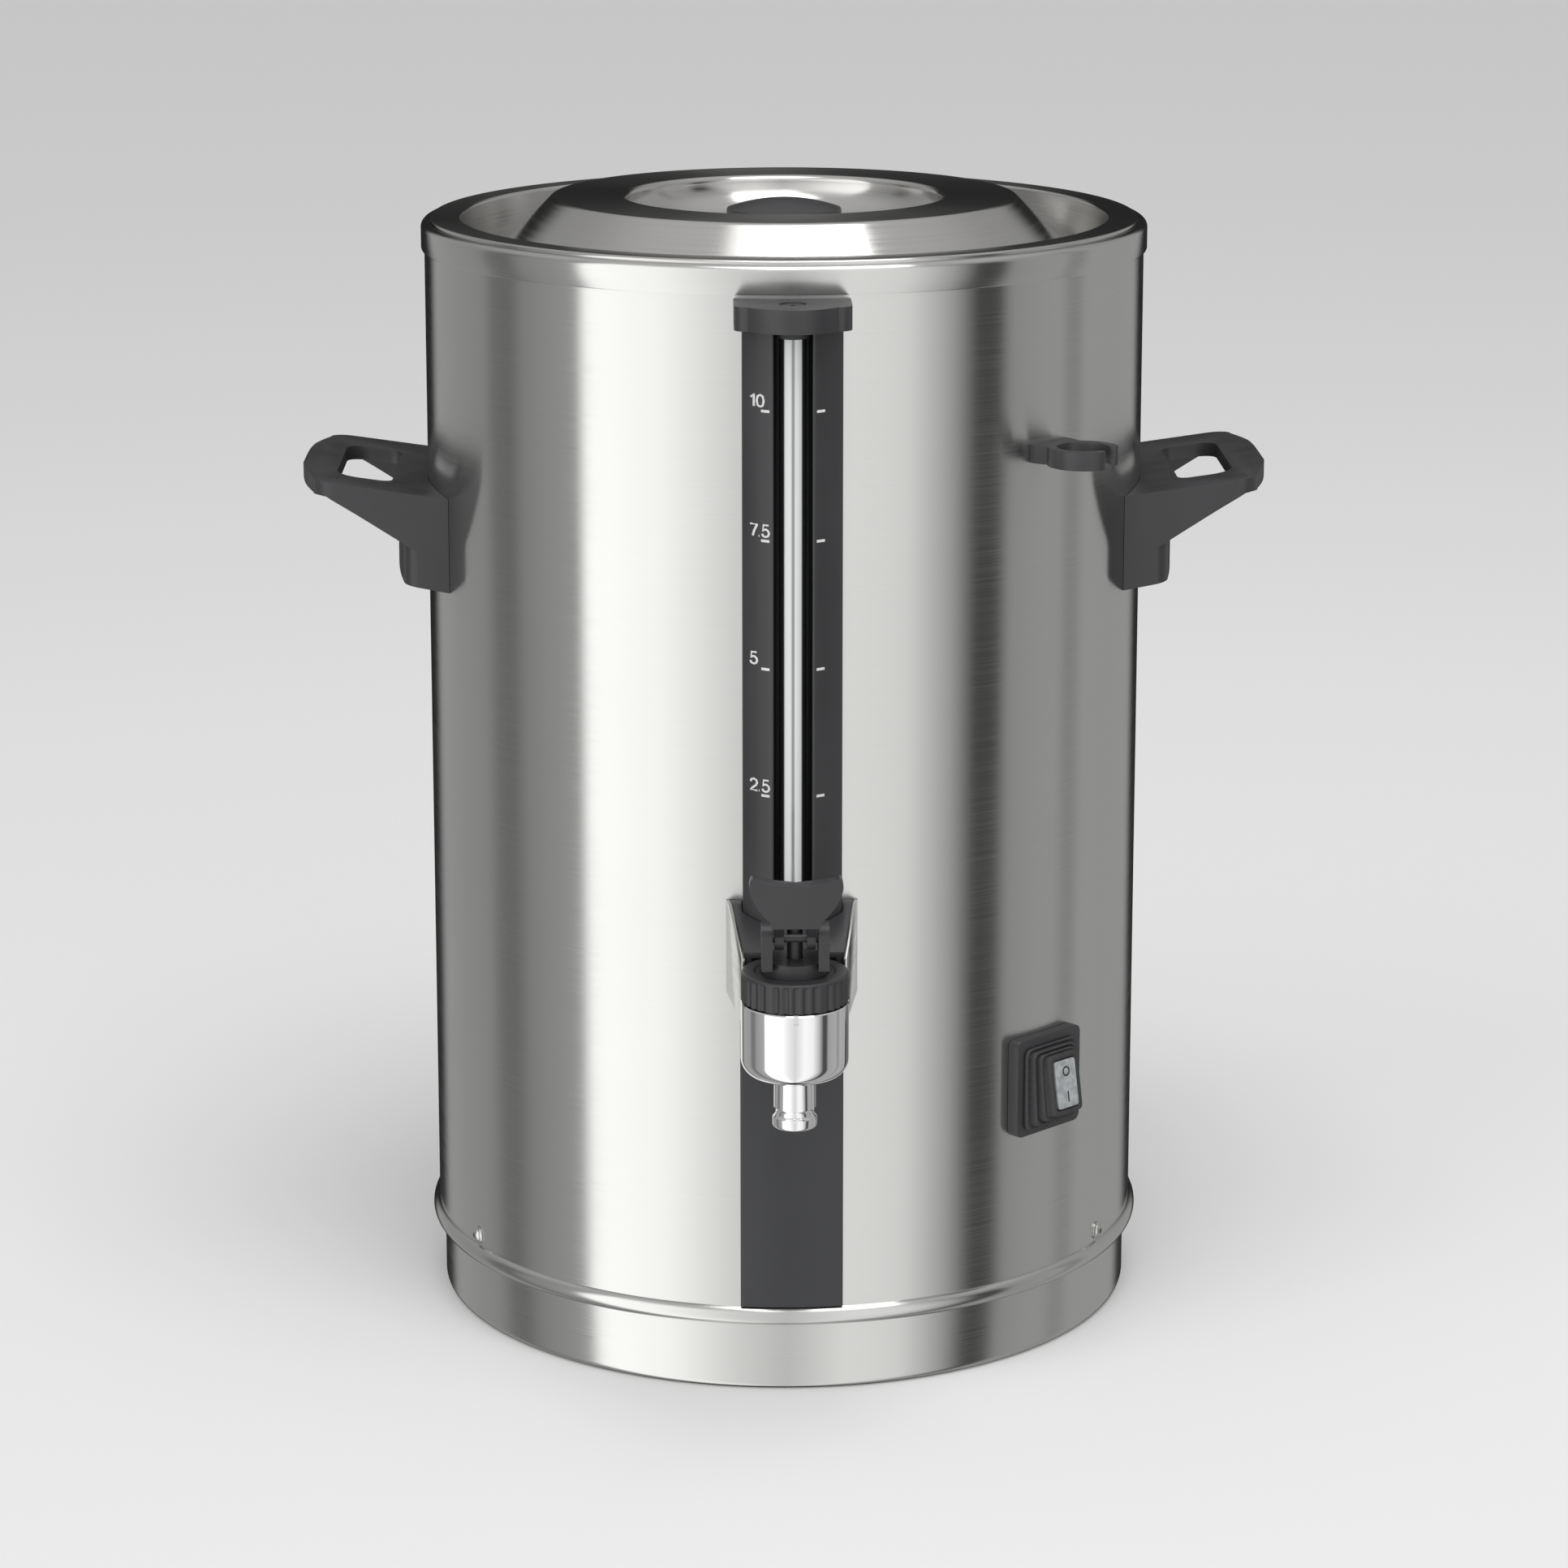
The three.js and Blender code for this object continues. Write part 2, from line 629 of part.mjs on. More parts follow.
const clampBar = planPrism(
  roundedRectangle(ELEMENT_RING + 8, 10, 4),
  clampTop - CLAMP_THICKNESS,
  clampTop,
  [circle(boreOf(STUD_RADIUS), 16)],
);
place("heater_clamp", clampBar, finish(0x9a9a96, 0.45, 1));

const hexagon = (acrossFlats) => arc(0, 0, acrossFlats / Math.sqrt(3), 0, 300, 5);
const clampNut = planPrism(
  hexagon(10),
  clampTop - CLAMP_THICKNESS - GAP - 5,
  clampTop - CLAMP_THICKNESS - GAP,
  [circle(boreOf(STUD_RADIUS), 16)],
);
place("heater_nut", clampNut, chrome());

// Disc-shaped bimetal devices with two tabs, pressed against the underside of the heater plate.
function discDevice(radius, height, y) {
  const top = heaterUnderside - GAP;
  const body = turned([
    [0, top - height],
    [radius, top - height],
    [radius, top],
    [0, top],
  ], 20, y);
  const tabs = [-1, 1].map((sign) =>
    planPrism(rectangle(0.4, 3, sign * radius * 0.5, -y), top - height - 8, top - height + 0.1),
  );
  return joined(body, ...tabs);
}
place("thermostat", discDevice(13, 11, 32), blackPlastic());
place("thermal_cutout", discDevice(8, 9, -32), paleCeramic());

const TERMINAL_LENGTH = 48;
const TERMINAL_WIDTH = 22;
const terminalX = -45;
const terminalY = 40;
function terminalBlock() {
  const block = planPrism(
    rectangle(TERMINAL_LENGTH / 2, TERMINAL_WIDTH / 2, terminalX, -terminalY),
    TRAY_WALL + GAP,
    TRAY_WALL + GAP + 17,
  );
  const pitch = TERMINAL_LENGTH / 4;
  const ways = [-1.5, -0.5, 0.5, 1.5].map((way) =>
    planPrism(rectangle(3, 3, terminalX + way * pitch, -terminalY), 8, 30),
  );
  return cutFrom(block, ...ways);
}
place("terminal_block", terminalBlock(), paleCeramic());

// ---- lid ----

const plateau = RIM_HEIGHT + LID_PLATEAU_RISE;
const lidTop = RIM_HEIGHT + LID_FLANGE_RISE;
const dishFloor = plateau - LID_DISH_DEPTH;
const LID_SCREW_RADIUS = 2;

// Upper face of the pressed sheet, from its rim to the hole for the knob's screw: a flat flange,
// a well that drops into the vessel, a 45 degree cone up to a flat ring, and a round dish.
function lidLine() {
  const edge = 1.2;
  const lip = 1.5;
  const wellZ = lidTop - LID_WELL_DEPTH + LID_WELL_ROUND;
  const diagonal = LID_PLATEAU_RADIUS + plateau;
  const slope = LID_WELL_ROUND * Math.SQRT2;
  const wellR = diagonal - wellZ + slope;
  const shoulder = 3;
  const cut = shoulder * Math.tan(22.5 * DEG);
  const dishLip = 2;
  const bowl = [];
  for (let i = 1; i <= 4; i += 1) {
    const a = (i / 4) * 90 * DEG;
    const reach = LID_DISH_RADIUS - LID_DISH_FLOOR;
    bowl.push([
      LID_DISH_FLOOR + reach * Math.cos(a),
      plateau - dishLip - (LID_DISH_DEPTH - dishLip) * Math.sin(a),
    ]);
  }
  return [
    [LID_FLANGE_RADIUS, shelf + GAP],
    ...arc(LID_FLANGE_RADIUS - edge, lidTop - edge, edge, 0, 90, 1),
    ...arc(LID_WELL_RADIUS + lip, lidTop - lip, lip, 90, 180, 2),
    ...arc(wellR, wellZ, LID_WELL_ROUND, 0, -135, 3),
    ...arc(LID_PLATEAU_RADIUS - cut, plateau - shoulder, shoulder, 45, 90, 1),
    ...arc(LID_DISH_RADIUS + dishLip, plateau - dishLip, dishLip, 90, 180, 2),
    ...bowl,
    [boreOf(LID_SCREW_RADIUS), dishFloor],
  ];
}
const lidShell = turned(sheet(lidLine().reverse(), LID_SHEET));
place("lid_shell", lidShell, brushedSteel());

const knobRim = plateau - KNOB_BELOW_PLATEAU - KNOB_DOME;
function lidKnob() {
  const seat = dishFloor + GAP;
  const dome = [1, 0.85, 0.6, 0.3, 0].map((share) => [
    KNOB_RADIUS * share,
    knobRim + KNOB_DOME * (1 - share ** 2),
  ]);
  return turned([
    [0, seat + 6],
    [boreOf(LID_SCREW_RADIUS), seat + 6],
    [boreOf(LID_SCREW_RADIUS), seat],
    [KNOB_STEM_RADIUS, seat],
    [KNOB_STEM_RADIUS, knobRim - KNOB_THICKNESS],
    [KNOB_RADIUS - 1, knobRim - KNOB_THICKNESS],
    [KNOB_RADIUS, knobRim - KNOB_THICKNESS + 1],
    ...dome,
  ], 32);
}
place("lid_knob", lidKnob(), blackPlastic());

const screwHeadTop = dishFloor - LID_SHEET - GAP;
const lidScrew = turned([
  [0, screwHeadTop - 2.6],
  [SCREW_HEAD, screwHeadTop - 2.6],
  [SCREW_HEAD, screwHeadTop],
  [LID_SCREW_RADIUS, screwHeadTop],
  [LID_SCREW_RADIUS, dishFloor + 6],
  [0, dishFloor + 6],
], 12);
place("lid_knob_screw", lidScrew, chrome());

// ---- level gauge ----

const mirrored = (half) => [...half, ...half.map(([x, y]) => [-x, y]).reverse()];
const fromDrum = (points) => points.map(([x, out]) => [x, JACKET_RADIUS + out]);
const SOCKET_LEDGE = 192; // top of the socket under the channel
const SOCKET_PLAY = 0.6; // in front of the channel

function sightChannel() {
  const half = fromDrum([
    [GAUGE_HALF_WIDTH, -5],
    ...GAUGE_SHOULDER,
    [GAUGE_GROOVE_HALF, GAUGE_GROOVE_FLOOR],
  ]);
  return cutFrom(planPrism(mirrored(half), SOCKET_LEDGE + GAP, GAUGE_TOP), drumFace);
}
place("sight_channel", sightChannel(), blackPlastic());

const capBottom = GAUGE_TOP + GAP;
const capTop = capBottom + CAP_HEIGHT;
const GLASS_IN_SOCKET = 7; // length of glass below the channel
const GLASS_IN_CAP = 4.5;
const glassBottom = SOCKET_LEDGE - GLASS_IN_SOCKET;
const glassTop = capBottom + GLASS_IN_CAP;
const sealBore = boreOf(GLASS_RADIUS);
const glassRing = (inner, outer, bottom, top) =>
  turned([
    [inner, bottom],
    [outer, bottom],
    [outer, top],
    [inner, top],
  ], 16, glassY);
const glassCore = (radius, bottom, top) =>
  turned([
    [0, bottom],
    [radius, bottom],
    [radius, top],
    [0, top],
  ], 16, glassY);

place("sight_tube", glassRing(GLASS_BORE, GLASS_RADIUS, glassBottom, glassTop), clearGlass());
const topSeal = glassRing(sealBore, SEAL_RADIUS, GAUGE_TOP - 3.2, GAUGE_TOP);
place("sight_top_seal", topSeal, blackRubber());
const bottomSeal = glassRing(sealBore, SEAL_RADIUS, glassBottom + 1, SOCKET_LEDGE - 1);
place("sight_bottom_seal", bottomSeal, blackRubber());

function sightCap() {
  const outline = bowed(
    CAP_HALF_WIDTH,
    JACKET_RADIUS + CAP_OUT_ENDS,
    JACKET_RADIUS + CAP_OUT_MIDDLE,
    JACKET_RADIUS - 5,
    CAP_CORNER,
  );
  return cutFrom(
    planPrism(outline, capBottom, capTop),
    drumFace,
    glassCore(boreOf(GLASS_RADIUS), capBottom - 1, glassTop + GAP),
    glassCore(CAP_VENT_RADIUS, capBottom, capTop + 1),
  );
}
place("sight_cap", sightCap(), blackPlastic());

// ---- tap ----

function tapBody() {
  const round = arc(CUP_RADIUS - CUP_CORNER, CUP_BOTTOM + CUP_CORNER, CUP_CORNER, -90, 0, 3);
  const shell = turned([
    [SPOUT_BORE, SPOUT_BOTTOM],
    [SPOUT_RADIUS - 0.4, SPOUT_BOTTOM],
    [SPOUT_RADIUS + 0.5, SPOUT_BOTTOM + 1],
    [SPOUT_RADIUS + 0.5, SPOUT_BOTTOM + 4.3],
    [SPOUT_RADIUS - 0.5, SPOUT_BOTTOM + 6],
    [SPOUT_RADIUS - 0.5, SPOUT_BOTTOM + 7.2],
    [SPOUT_RADIUS, SPOUT_BOTTOM + 8],
    [SPOUT_RADIUS, CUP_BOTTOM],
    ...round,
    [CUP_RADIUS, CUP_TOP],
    [NECK_RADIUS, CUP_TOP],
    [NECK_RADIUS, CUP_TOP + NECK_HEIGHT],
    [CHAMBER_RADIUS, CUP_TOP + NECK_HEIGHT],
    [CHAMBER_RADIUS, CUP_BOTTOM + 8],
    [SPOUT_BORE, CUP_BOTTOM + 6],
  ], 28, tapY);
  const wallOut = JACKET_RADIUS + TAP_OUT - CHAMBER_RADIUS;
  const port = new THREE.CylinderGeometry(GAUGE_PORT_RADIUS, GAUGE_PORT_RADIUS, 12, 10);
  port.rotateX(Math.PI / 2);
  port.translate(0, glassY, SHANK_HEIGHT + 6); // opens the shank upwards, and only that
  return cutFrom(
    joined(shell, solid(rod(SHANK_RADIUS, shankEnd, wallOut - 2, SHANK_HEIGHT, 16))),
    solid(rod(SHANK_BORE, shankEnd - 1, wallOut + 4, SHANK_HEIGHT, 16)),
    solid(port),
  );
}
place("tap_body", tapBody(), chrome());

const GASKET_THICKNESS = 2;
const GASKET_RADIUS = 12;
const gasketOuter = behindWall(GASKET_RADIUS);
const shankRing = (outline, inner, outer) =>
  cutFrom(
    facePrism(outline.map(([x, z]) => [x, z + SHANK_HEIGHT]), inner, outer),
    solid(rod(boreOf(SHANK_RADIUS), inner - 1, outer + 1, SHANK_HEIGHT, 16)),
  );
const tapGasket = shankRing(circle(GASKET_RADIUS, 18), gasketOuter - GASKET_THICKNESS, gasketOuter);
place("tap_gasket", tapGasket, redRubber());
const lockNutFront = gasketOuter - GASKET_THICKNESS - GAP;
place("tap_lock_nut", shankRing(hexagon(24), lockNutFront - 4.2, lockNutFront), brass());

const ringNutBottom = CUP_TOP + 0.4;
const ringNutTop = ringNutBottom + RING_NUT_HEIGHT;
function ringNut() {
  const outline = [];
  const groupAngle = 360 / RING_NUT_GROUPS;
  const ribAngle = groupAngle / (RING_NUT_RIBS * 2 + 2);
  for (let group = 0; group < RING_NUT_GROUPS; group += 1) {
    for (let rib = 0; rib < RING_NUT_RIBS; rib += 1) {
      const from = group * groupAngle + (2 * rib + 1) * ribAngle;
      outline.push(...arc(0, 0, RING_NUT_RADIUS - 0.8, from, from + ribAngle * 0.7, 1));
      outline.push(...arc(0, 0, RING_NUT_RADIUS, from + ribAngle, from + ribAngle * 1.7, 1));
    }
  }
  const band = outline.map(([x, y]) => [x, y - tapY]);
  const hole = (radius) => [circle(radius, 28, 0, -tapY)];
  const skirt = planPrism(band, ringNutBottom, ringNutTop - RING_NUT_LIP, hole(boreOf(NECK_RADIUS) + 0.1));
  const lip = planPrism(band, ringNutTop - RING_NUT_LIP, ringNutTop, hole(boreOf(BARREL_RADIUS)));
  return joined(skirt, lip);
}
place("ring_nut", ringNut(), blackPlastic());

const stemBore = turned([
  [0, CUP_TOP],
  [STEM_RADIUS + JOINT_PLAY, CUP_TOP],
  [STEM_RADIUS + JOINT_PLAY, PADDLE_TOP],
  [0, PADDLE_TOP],
], 16, tapY);
const pinHole = crossRod(PIN_RADIUS + JOINT_PLAY, -20, 20, pinY, PIN_HEIGHT);

const bonnetSeat = CUP_TOP + NECK_HEIGHT + GAP;
function bonnet() {
  const core = turned([
    [0, bonnetSeat],
    [NECK_RADIUS - 0.2, bonnetSeat],
    [NECK_RADIUS - 0.2, ringNutTop - RING_NUT_LIP - GAP],
    [BARREL_RADIUS, ringNutTop - RING_NUT_LIP - GAP],
    [BARREL_RADIUS, BARREL_TOP],
    [0, BARREL_TOP],
  ], 28, tapY);
  const pinOut = -pinY;
  const ears = [-1, 1].map((sign) => {
    const outer = sign * (CHEEK_INNER + CHEEK_THICKNESS);
    const inner = sign * CHEEK_INNER;
    const outline = [
      [-tapY - 8, BARREL_TOP - 2],
      [pinOut + CHEEK_RADIUS - 0.5, BARREL_TOP - 2],
      ...arc(pinOut, PIN_HEIGHT, CHEEK_RADIUS, -10, 130, 8),
      [-tapY - 8, BARREL_TOP + 4],
    ];
    return sidePrism(outline, Math.min(inner, outer), Math.max(inner, outer));
  });
  return cutFrom(joined(core, ...ears), stemBore, pinHole);
}
place("bonnet", bonnet(), blackPlastic());

const earOuter = CHEEK_INNER + CHEEK_THICKNESS;
place("lever_pin", crossRod(PIN_RADIUS, -earOuter, earOuter, pinY, PIN_HEIGHT), blackPlastic());

// Two arms on the hinge pin, whose round noses lift the stem's cross-bar, and a paddle above them.
function tapLever() {
  const pinOut = -pinY;
  const stemOut = -tapY;
  const lean = Math.tan(PADDLE_LEAN * DEG);
  const waist = PIN_HEIGHT + 8.5;
  const neckOut = pinOut + 9.5;
  const boss = 2.7 + PIN_RADIUS;
  const arm = [
    ...arc(stemOut, PIN_HEIGHT, ARM_NOSE, 90, 270, 6),
    ...arc(pinOut, PIN_HEIGHT, boss, -95, 20, 5),
    [neckOut + PADDLE_THICKNESS / 2, waist],
    [neckOut - PADDLE_THICKNESS / 2, waist],
    [pinOut + 0.6, PIN_HEIGHT + ARM_NOSE + 0.2],
  ];
  const arms = [-1, 1].map((sign) => {
    const span = [sign * ARM_INNER, sign * (ARM_INNER + ARM_THICKNESS)].sort((a, b) => a - b);
    return sidePrism(arm, span[0], span[1]);
  });
  const rise = PADDLE_TOP - waist;
  const halfThick = PADDLE_THICKNESS / 2;
  const side = sidePrism([
    [neckOut - halfThick, waist - 1.5],
    [neckOut + halfThick, waist - 1.5],
    [neckOut + rise * lean + halfThick, PADDLE_TOP + 2],
    [neckOut + rise * lean - halfThick, PADDLE_TOP + 2],
  ], -PADDLE_HALF_WIDTH, PADDLE_HALF_WIDTH);
  const half = [
    [PADDLE_WAIST, waist - 3],
    [PADDLE_WAIST + 0.6, waist + 2],
    [PADDLE_HALF_WIDTH - 3.4, waist + rise * 0.5],
    [PADDLE_HALF_WIDTH, waist + rise * 0.82],
    [PADDLE_HALF_WIDTH, PADDLE_TOP - 1],
    [PADDLE_HALF_WIDTH - 3, PADDLE_TOP],
    [PADDLE_HALF_WIDTH * 0.5, PADDLE_TOP - 1.6],
  ];
  const face = facePrism(mirrored(half), pinOut - 5, pinOut + 40);
  return cutFrom(joined(...arms, side.intersect(face)), pinHole);
}
place("tap_lever", tapLever(), blackPlastic());

const stemFoot = CUP_BOTTOM + 14.5;
const BAR_THICKNESS = 2.5;
const barBottom = PIN_HEIGHT + ARM_NOSE + GAP;
function tapStem() {
  const shaft = turned([
    [0, stemFoot],
    [STEM_RADIUS, stemFoot],
    [STEM_RADIUS, barBottom + 1],
    [0, barBottom + 1],
  ], 16, tapY);
  const bar = planPrism(
    roundedRectangle(CHEEK_INNER - 0.5, 2.6, 1.5, 0, -tapY),
    barBottom,
    barBottom + BAR_THICKNESS,
  );
  return joined(shaft, bar);
}
place("tap_stem", tapStem(), blackPlastic());

const cupSeat = CUP_BOTTOM + 8 + GAP;
const SEAT_CUP_RADIUS = 8.6;
const seatCupTop = stemFoot + 4;
const seatCup = turned([
  [0, cupSeat],
  [SEAT_CUP_RADIUS - 1.5, cupSeat],
  [SEAT_CUP_RADIUS, cupSeat + 2],
  [SEAT_CUP_RADIUS, seatCupTop],
  [STEM_RADIUS + GAP, seatCupTop],
  [STEM_RADIUS + GAP, stemFoot - GAP],
  [0, stemFoot - GAP],
], 16, tapY);
place("seat_cup", seatCup, redRubber());

const SPRING_RADIUS = 5;
const SPRING_WIRE = 0.6;
const SPRING_TURNS = 4;
class SpringCurve extends THREE.Curve {
  getPoint(t, target = new THREE.Vector3()) {
    const a = 2 * Math.PI * SPRING_TURNS * t;
    const low = seatCupTop + GAP + SPRING_WIRE;
    const high = bonnetSeat - GAP - SPRING_WIRE;
    const z = low + (high - low) * t;
    return target.set(SPRING_RADIUS * Math.cos(a), tapY + SPRING_RADIUS * Math.sin(a), z);
  }
}
const tapSpring = tubeAlong(new SpringCurve(), SPRING_WIRE, 0, SPRING_TURNS * 10, 5);
place("tap_spring", tapSpring, finish(0xa0a0a0, 0.3, 1));

// Sheet bracket behind the tap: a back plate on the drum and two cheeks that close in on the cup.
const shroudEdge = (out, inset) => SHROUD_HALF_WIDTH - inset - SHROUD_TAPER * out;
const cupClearance = turned([
  [0, SPOUT_BOTTOM],
  [CUP_RADIUS + 0.7, SPOUT_BOTTOM],
  [CUP_RADIUS + 0.7, ringNutTop + 0.5],
  [0, ringNutTop + 0.5],
], 28, tapY);
const topSlope = [
  [JACKET_RADIUS - 6, SHROUD_TOP],
  [JACKET_RADIUS + 5, SHROUD_TOP],
  [JACKET_RADIUS + SHROUD_REACH, SHROUD_FRONT_TOP],
];
const shankTunnel = solid(rod(boreOf(SHANK_RADIUS), JACKET_RADIUS - 5, JACKET_RADIUS + 40, SHANK_HEIGHT, 16));

// Slab against the drum between the cheeks, up to a distance out from the drum.
function backPlate(reach, top) {
  const half = SHROUD_HALF_WIDTH - SHROUD_SHEET / 2;
  const middle = (reach - 6) / 2;
  return planPrism(fromDrum(rectangle(half, (reach + 6) / 2, 0, middle)), SHROUD_BOTTOM, top);
}

function tapShroud() {
  const cheeks = [-1, 1].map((sign) =>
    planPrism(
      fromDrum([
        [sign * shroudEdge(-6, 0), -6],
        [sign * shroudEdge(SHROUD_REACH, 0), SHROUD_REACH],
        [sign * shroudEdge(SHROUD_REACH, SHROUD_SHEET), SHROUD_REACH],
        [sign * shroudEdge(-6, SHROUD_SHEET), -6],
      ]),
      SHROUD_BOTTOM,
      SHROUD_TOP,
    ),
  );
  const under = sidePrism([
    ...topSlope,
    [JACKET_RADIUS + SHROUD_REACH, SHROUD_BOTTOM - 1],
    [JACKET_RADIUS - 6, SHROUD_BOTTOM - 1],
  ], -SHROUD_HALF_WIDTH - 2, SHROUD_HALF_WIDTH + 2);
  const back = backPlate(GAP + SHROUD_SHEET, SOCKET_LEDGE - GAP);
  return cutFrom(joined(...cheeks, back).intersect(under), drumFace, cupClearance, shankTunnel);
}
place("tap_shroud", tapShroud(), finish(0xb9b9b6, 0.15, 1));

// Plastic wedge between the cheeks: it holds the foot of the gauge and leads liquid up to it.
function sightSocket() {
  const inset = SHROUD_SHEET + GAP;
  const bottom = SHANK_HEIGHT + SHANK_RADIUS + GAP + 0.2;
  const plan = planPrism(
    mirrored(
      fromDrum([
        [shroudEdge(-6, inset), -6],
        [shroudEdge(SHROUD_REACH - 4, inset), SHROUD_REACH - 4],
      ]),
    ),
    bottom,
    SHROUD_TOP,
  );
  const side = sidePrism([
    ...topSlope,
    [JACKET_RADIUS + SHROUD_REACH, bottom],
    [JACKET_RADIUS - 6, bottom],
  ], -SHROUD_HALF_WIDTH, SHROUD_HALF_WIDTH);
  const roomForChannel = fromDrum([
    [GAUGE_HALF_WIDTH + GAP, -8],
    ...GAUGE_SHOULDER.map(([x, out]) => [x + GAP, out + SOCKET_PLAY]),
  ]);
  const notch = planPrism(mirrored(roomForChannel), SOCKET_LEDGE, SHROUD_TOP + 1);
  return cutFrom(
    plan.intersect(side),
    notch,
    backPlate(2 * GAP + SHROUD_SHEET, SOCKET_LEDGE),
    drumFace,
    cupClearance,
    glassCore(boreOf(SEAL_RADIUS), glassBottom - 2.5, SHROUD_TOP),
    glassCore(GAUGE_PORT_RADIUS, SHANK_HEIGHT, SHROUD_TOP),
  );
}
place("sight_socket", sightSocket(), blackPlastic());

// ---- dark strip on the drum under the tap ----

const stripHalfAngle = Math.asin(STRIP_HALF_WIDTH / JACKET_RADIUS) / DEG;
const stripInner = JACKET_RADIUS + GAP;
const lowerStrip = planPrism(
  [
    ...arc(0, 0, stripInner + STRIP_THICKNESS, 90 - stripHalfAngle, 90 + stripHalfAngle, 6),
    ...arc(0, 0, stripInner, 90 + stripHalfAngle, 90 - stripHalfAngle, 6),
  ],
  JACKET_FOOT + BEAD_HEIGHT + GAP,
  SHROUD_BOTTOM - GAP,
);
place("lower_strip", cutFrom(lowerStrip, drumFace, shankTunnel), blackPlastic());

// ---- handles ----

const handleTopAt = (out) => HANDLE_TOP + HANDLE_SLOPE * out;
const HANDLE_BOSS_RADIUS = 5;
const HANDLE_SCREW_REACH = 7; // in front of the jacket
const atHandleScrew = (radius, sign, inner, outer) =>
  atAzimuth(rod(radius, inner, outer, HANDLE_SCREW_HEIGHT), sign * HANDLE_SCREW_SPREAD);

function handle() {
  const out = (value) => JACKET_RADIUS + value;
  const deep = -16; // starts inside the drum, and is cut back to its face
  const block = planPrism(
    bowed(HANDLE_HALF_WIDTH, out(HANDLE_BLOCK_ENDS_OUT), out(HANDLE_BLOCK_OUT), out(deep), 6),
    HANDLE_BLOCK_BOTTOM - 4,
    handleTopAt(HANDLE_BLOCK_OUT) + 4,
  ).intersect(
    sidePrism([
      [out(deep), HANDLE_BLOCK_BOTTOM - 2],
      [out(HANDLE_BLOCK_OUT) - 4, HANDLE_BLOCK_BOTTOM + 2.6],
      [out(HANDLE_BLOCK_OUT) - 1, HANDLE_BLOCK_BOTTOM + 4],
      [out(HANDLE_BLOCK_OUT) + 1, HANDLE_BLOCK_BOTTOM + 7],
      [out(HANDLE_BLOCK_OUT) + 1, handleTopAt(HANDLE_BLOCK_OUT) - 1],
      [out(deep), handleTopAt(deep)],
    ], -HANDLE_HALF_WIDTH - 1, HANDLE_HALF_WIDTH + 1),
  );
  const outline = bowed(
    HANDLE_HALF_WIDTH,
    out(HANDLE_OUT_ENDS),
    out(HANDLE_OUT_MIDDLE),
    out(deep),
    HANDLE_CORNER,
  );
  const loopSlab = sidePrism([
    [out(deep), handleTopAt(deep) - HANDLE_PLATE],
    [out(HANDLE_OUT_MIDDLE), handleTopAt(HANDLE_OUT_MIDDLE) - HANDLE_PLATE],
    [out(HANDLE_OUT_MIDDLE), handleTopAt(HANDLE_OUT_MIDDLE) - 1.5],
    [out(HANDLE_OUT_MIDDLE) - 3, handleTopAt(HANDLE_OUT_MIDDLE) - 0.4],
    [out(deep), handleTopAt(deep)],
  ], -HANDLE_HALF_WIDTH - 1, HANDLE_HALF_WIDTH + 1);
  const loop = planPrism(outline, HANDLE_TOP - 20, HANDLE_TOP + 20).intersect(loopSlab);
  const slotInner = out(HANDLE_BLOCK_OUT) + 0.8;
  const slotOuter = out(HANDLE_OUT_MIDDLE) - HANDLE_GRIP;
  const slot = planPrism(
    roundedRectangle(HANDLE_SLOT_HALF, (slotOuter - slotInner) / 2, 6, 0, (slotInner + slotOuter) / 2),
    HANDLE_BLOCK_BOTTOM,
    HANDLE_TOP + 20,
  );
  const gussetLine = [
    ...HANDLE_GUSSET_EDGE.map(([reach, height]) => [out(reach), height]),
    [out(HANDLE_GUSSET_END), handleTopAt(HANDLE_GUSSET_END) - 1],
    [out(HANDLE_GUSSET_START), handleTopAt(0) - 1],
  ];
  const gussets = [-1, 1].map((sign) => {
    const span = [sign * HANDLE_HALF_WIDTH, sign * (HANDLE_HALF_WIDTH - HANDLE_GUSSET)];
    const slab = sidePrism(gussetLine, Math.min(...span), Math.max(...span));
    return slab.intersect(planPrism(outline, HANDLE_BLOCK_BOTTOM, HANDLE_TOP + 20));
  });
  const pocket = planPrism(
    bowed(
      HANDLE_HALF_WIDTH - HANDLE_WALL,
      out(HANDLE_BLOCK_ENDS_OUT) - HANDLE_WALL,
      out(HANDLE_BLOCK_OUT) - HANDLE_WALL,
      out(deep) - 1,
      4,
    ),
    HANDLE_BLOCK_BOTTOM + HANDLE_WALL + 3,
    handleTopAt(deep) - HANDLE_PLATE - 1,
  );
  const bosses = [-1, 1].map((sign) =>
    atHandleScrew(HANDLE_BOSS_RADIUS, sign, JACKET_RADIUS - 4, out(16)).intersect(block),
  );
  const screwHoles = [-1, 1].map((sign) =>
    atHandleScrew(boreOf(HANDLE_SCREW_RADIUS), sign, JACKET_RADIUS - 6, out(HANDLE_SCREW_REACH + 0.5)),
  );
  const hollowBlock = cutFrom(block, pocket);
  return cutFrom(joined(hollowBlock, cutFrom(loop, slot), ...gussets, ...bosses), ...screwHoles, drumFace);
}
for (const [side, azimuth] of Object.entries(handleAzimuths)) {
  place(`handle_${side}`, handle(), blackPlastic(), azimuth);
}

for (const { name, azimuth } of handleScrewAzimuths) {
  const seat = behindWall(SCREW_HEAD);
  const body = innerScrew(
    HANDLE_SCREW_RADIUS,
    SCREW_HEAD,
    seat - 2.2,
    seat,
    JACKET_RADIUS + HANDLE_SCREW_REACH,
    HANDLE_SCREW_HEIGHT,
  );
  place(name, body, chrome(), azimuth);
}

// ---- open clip on the drum ----

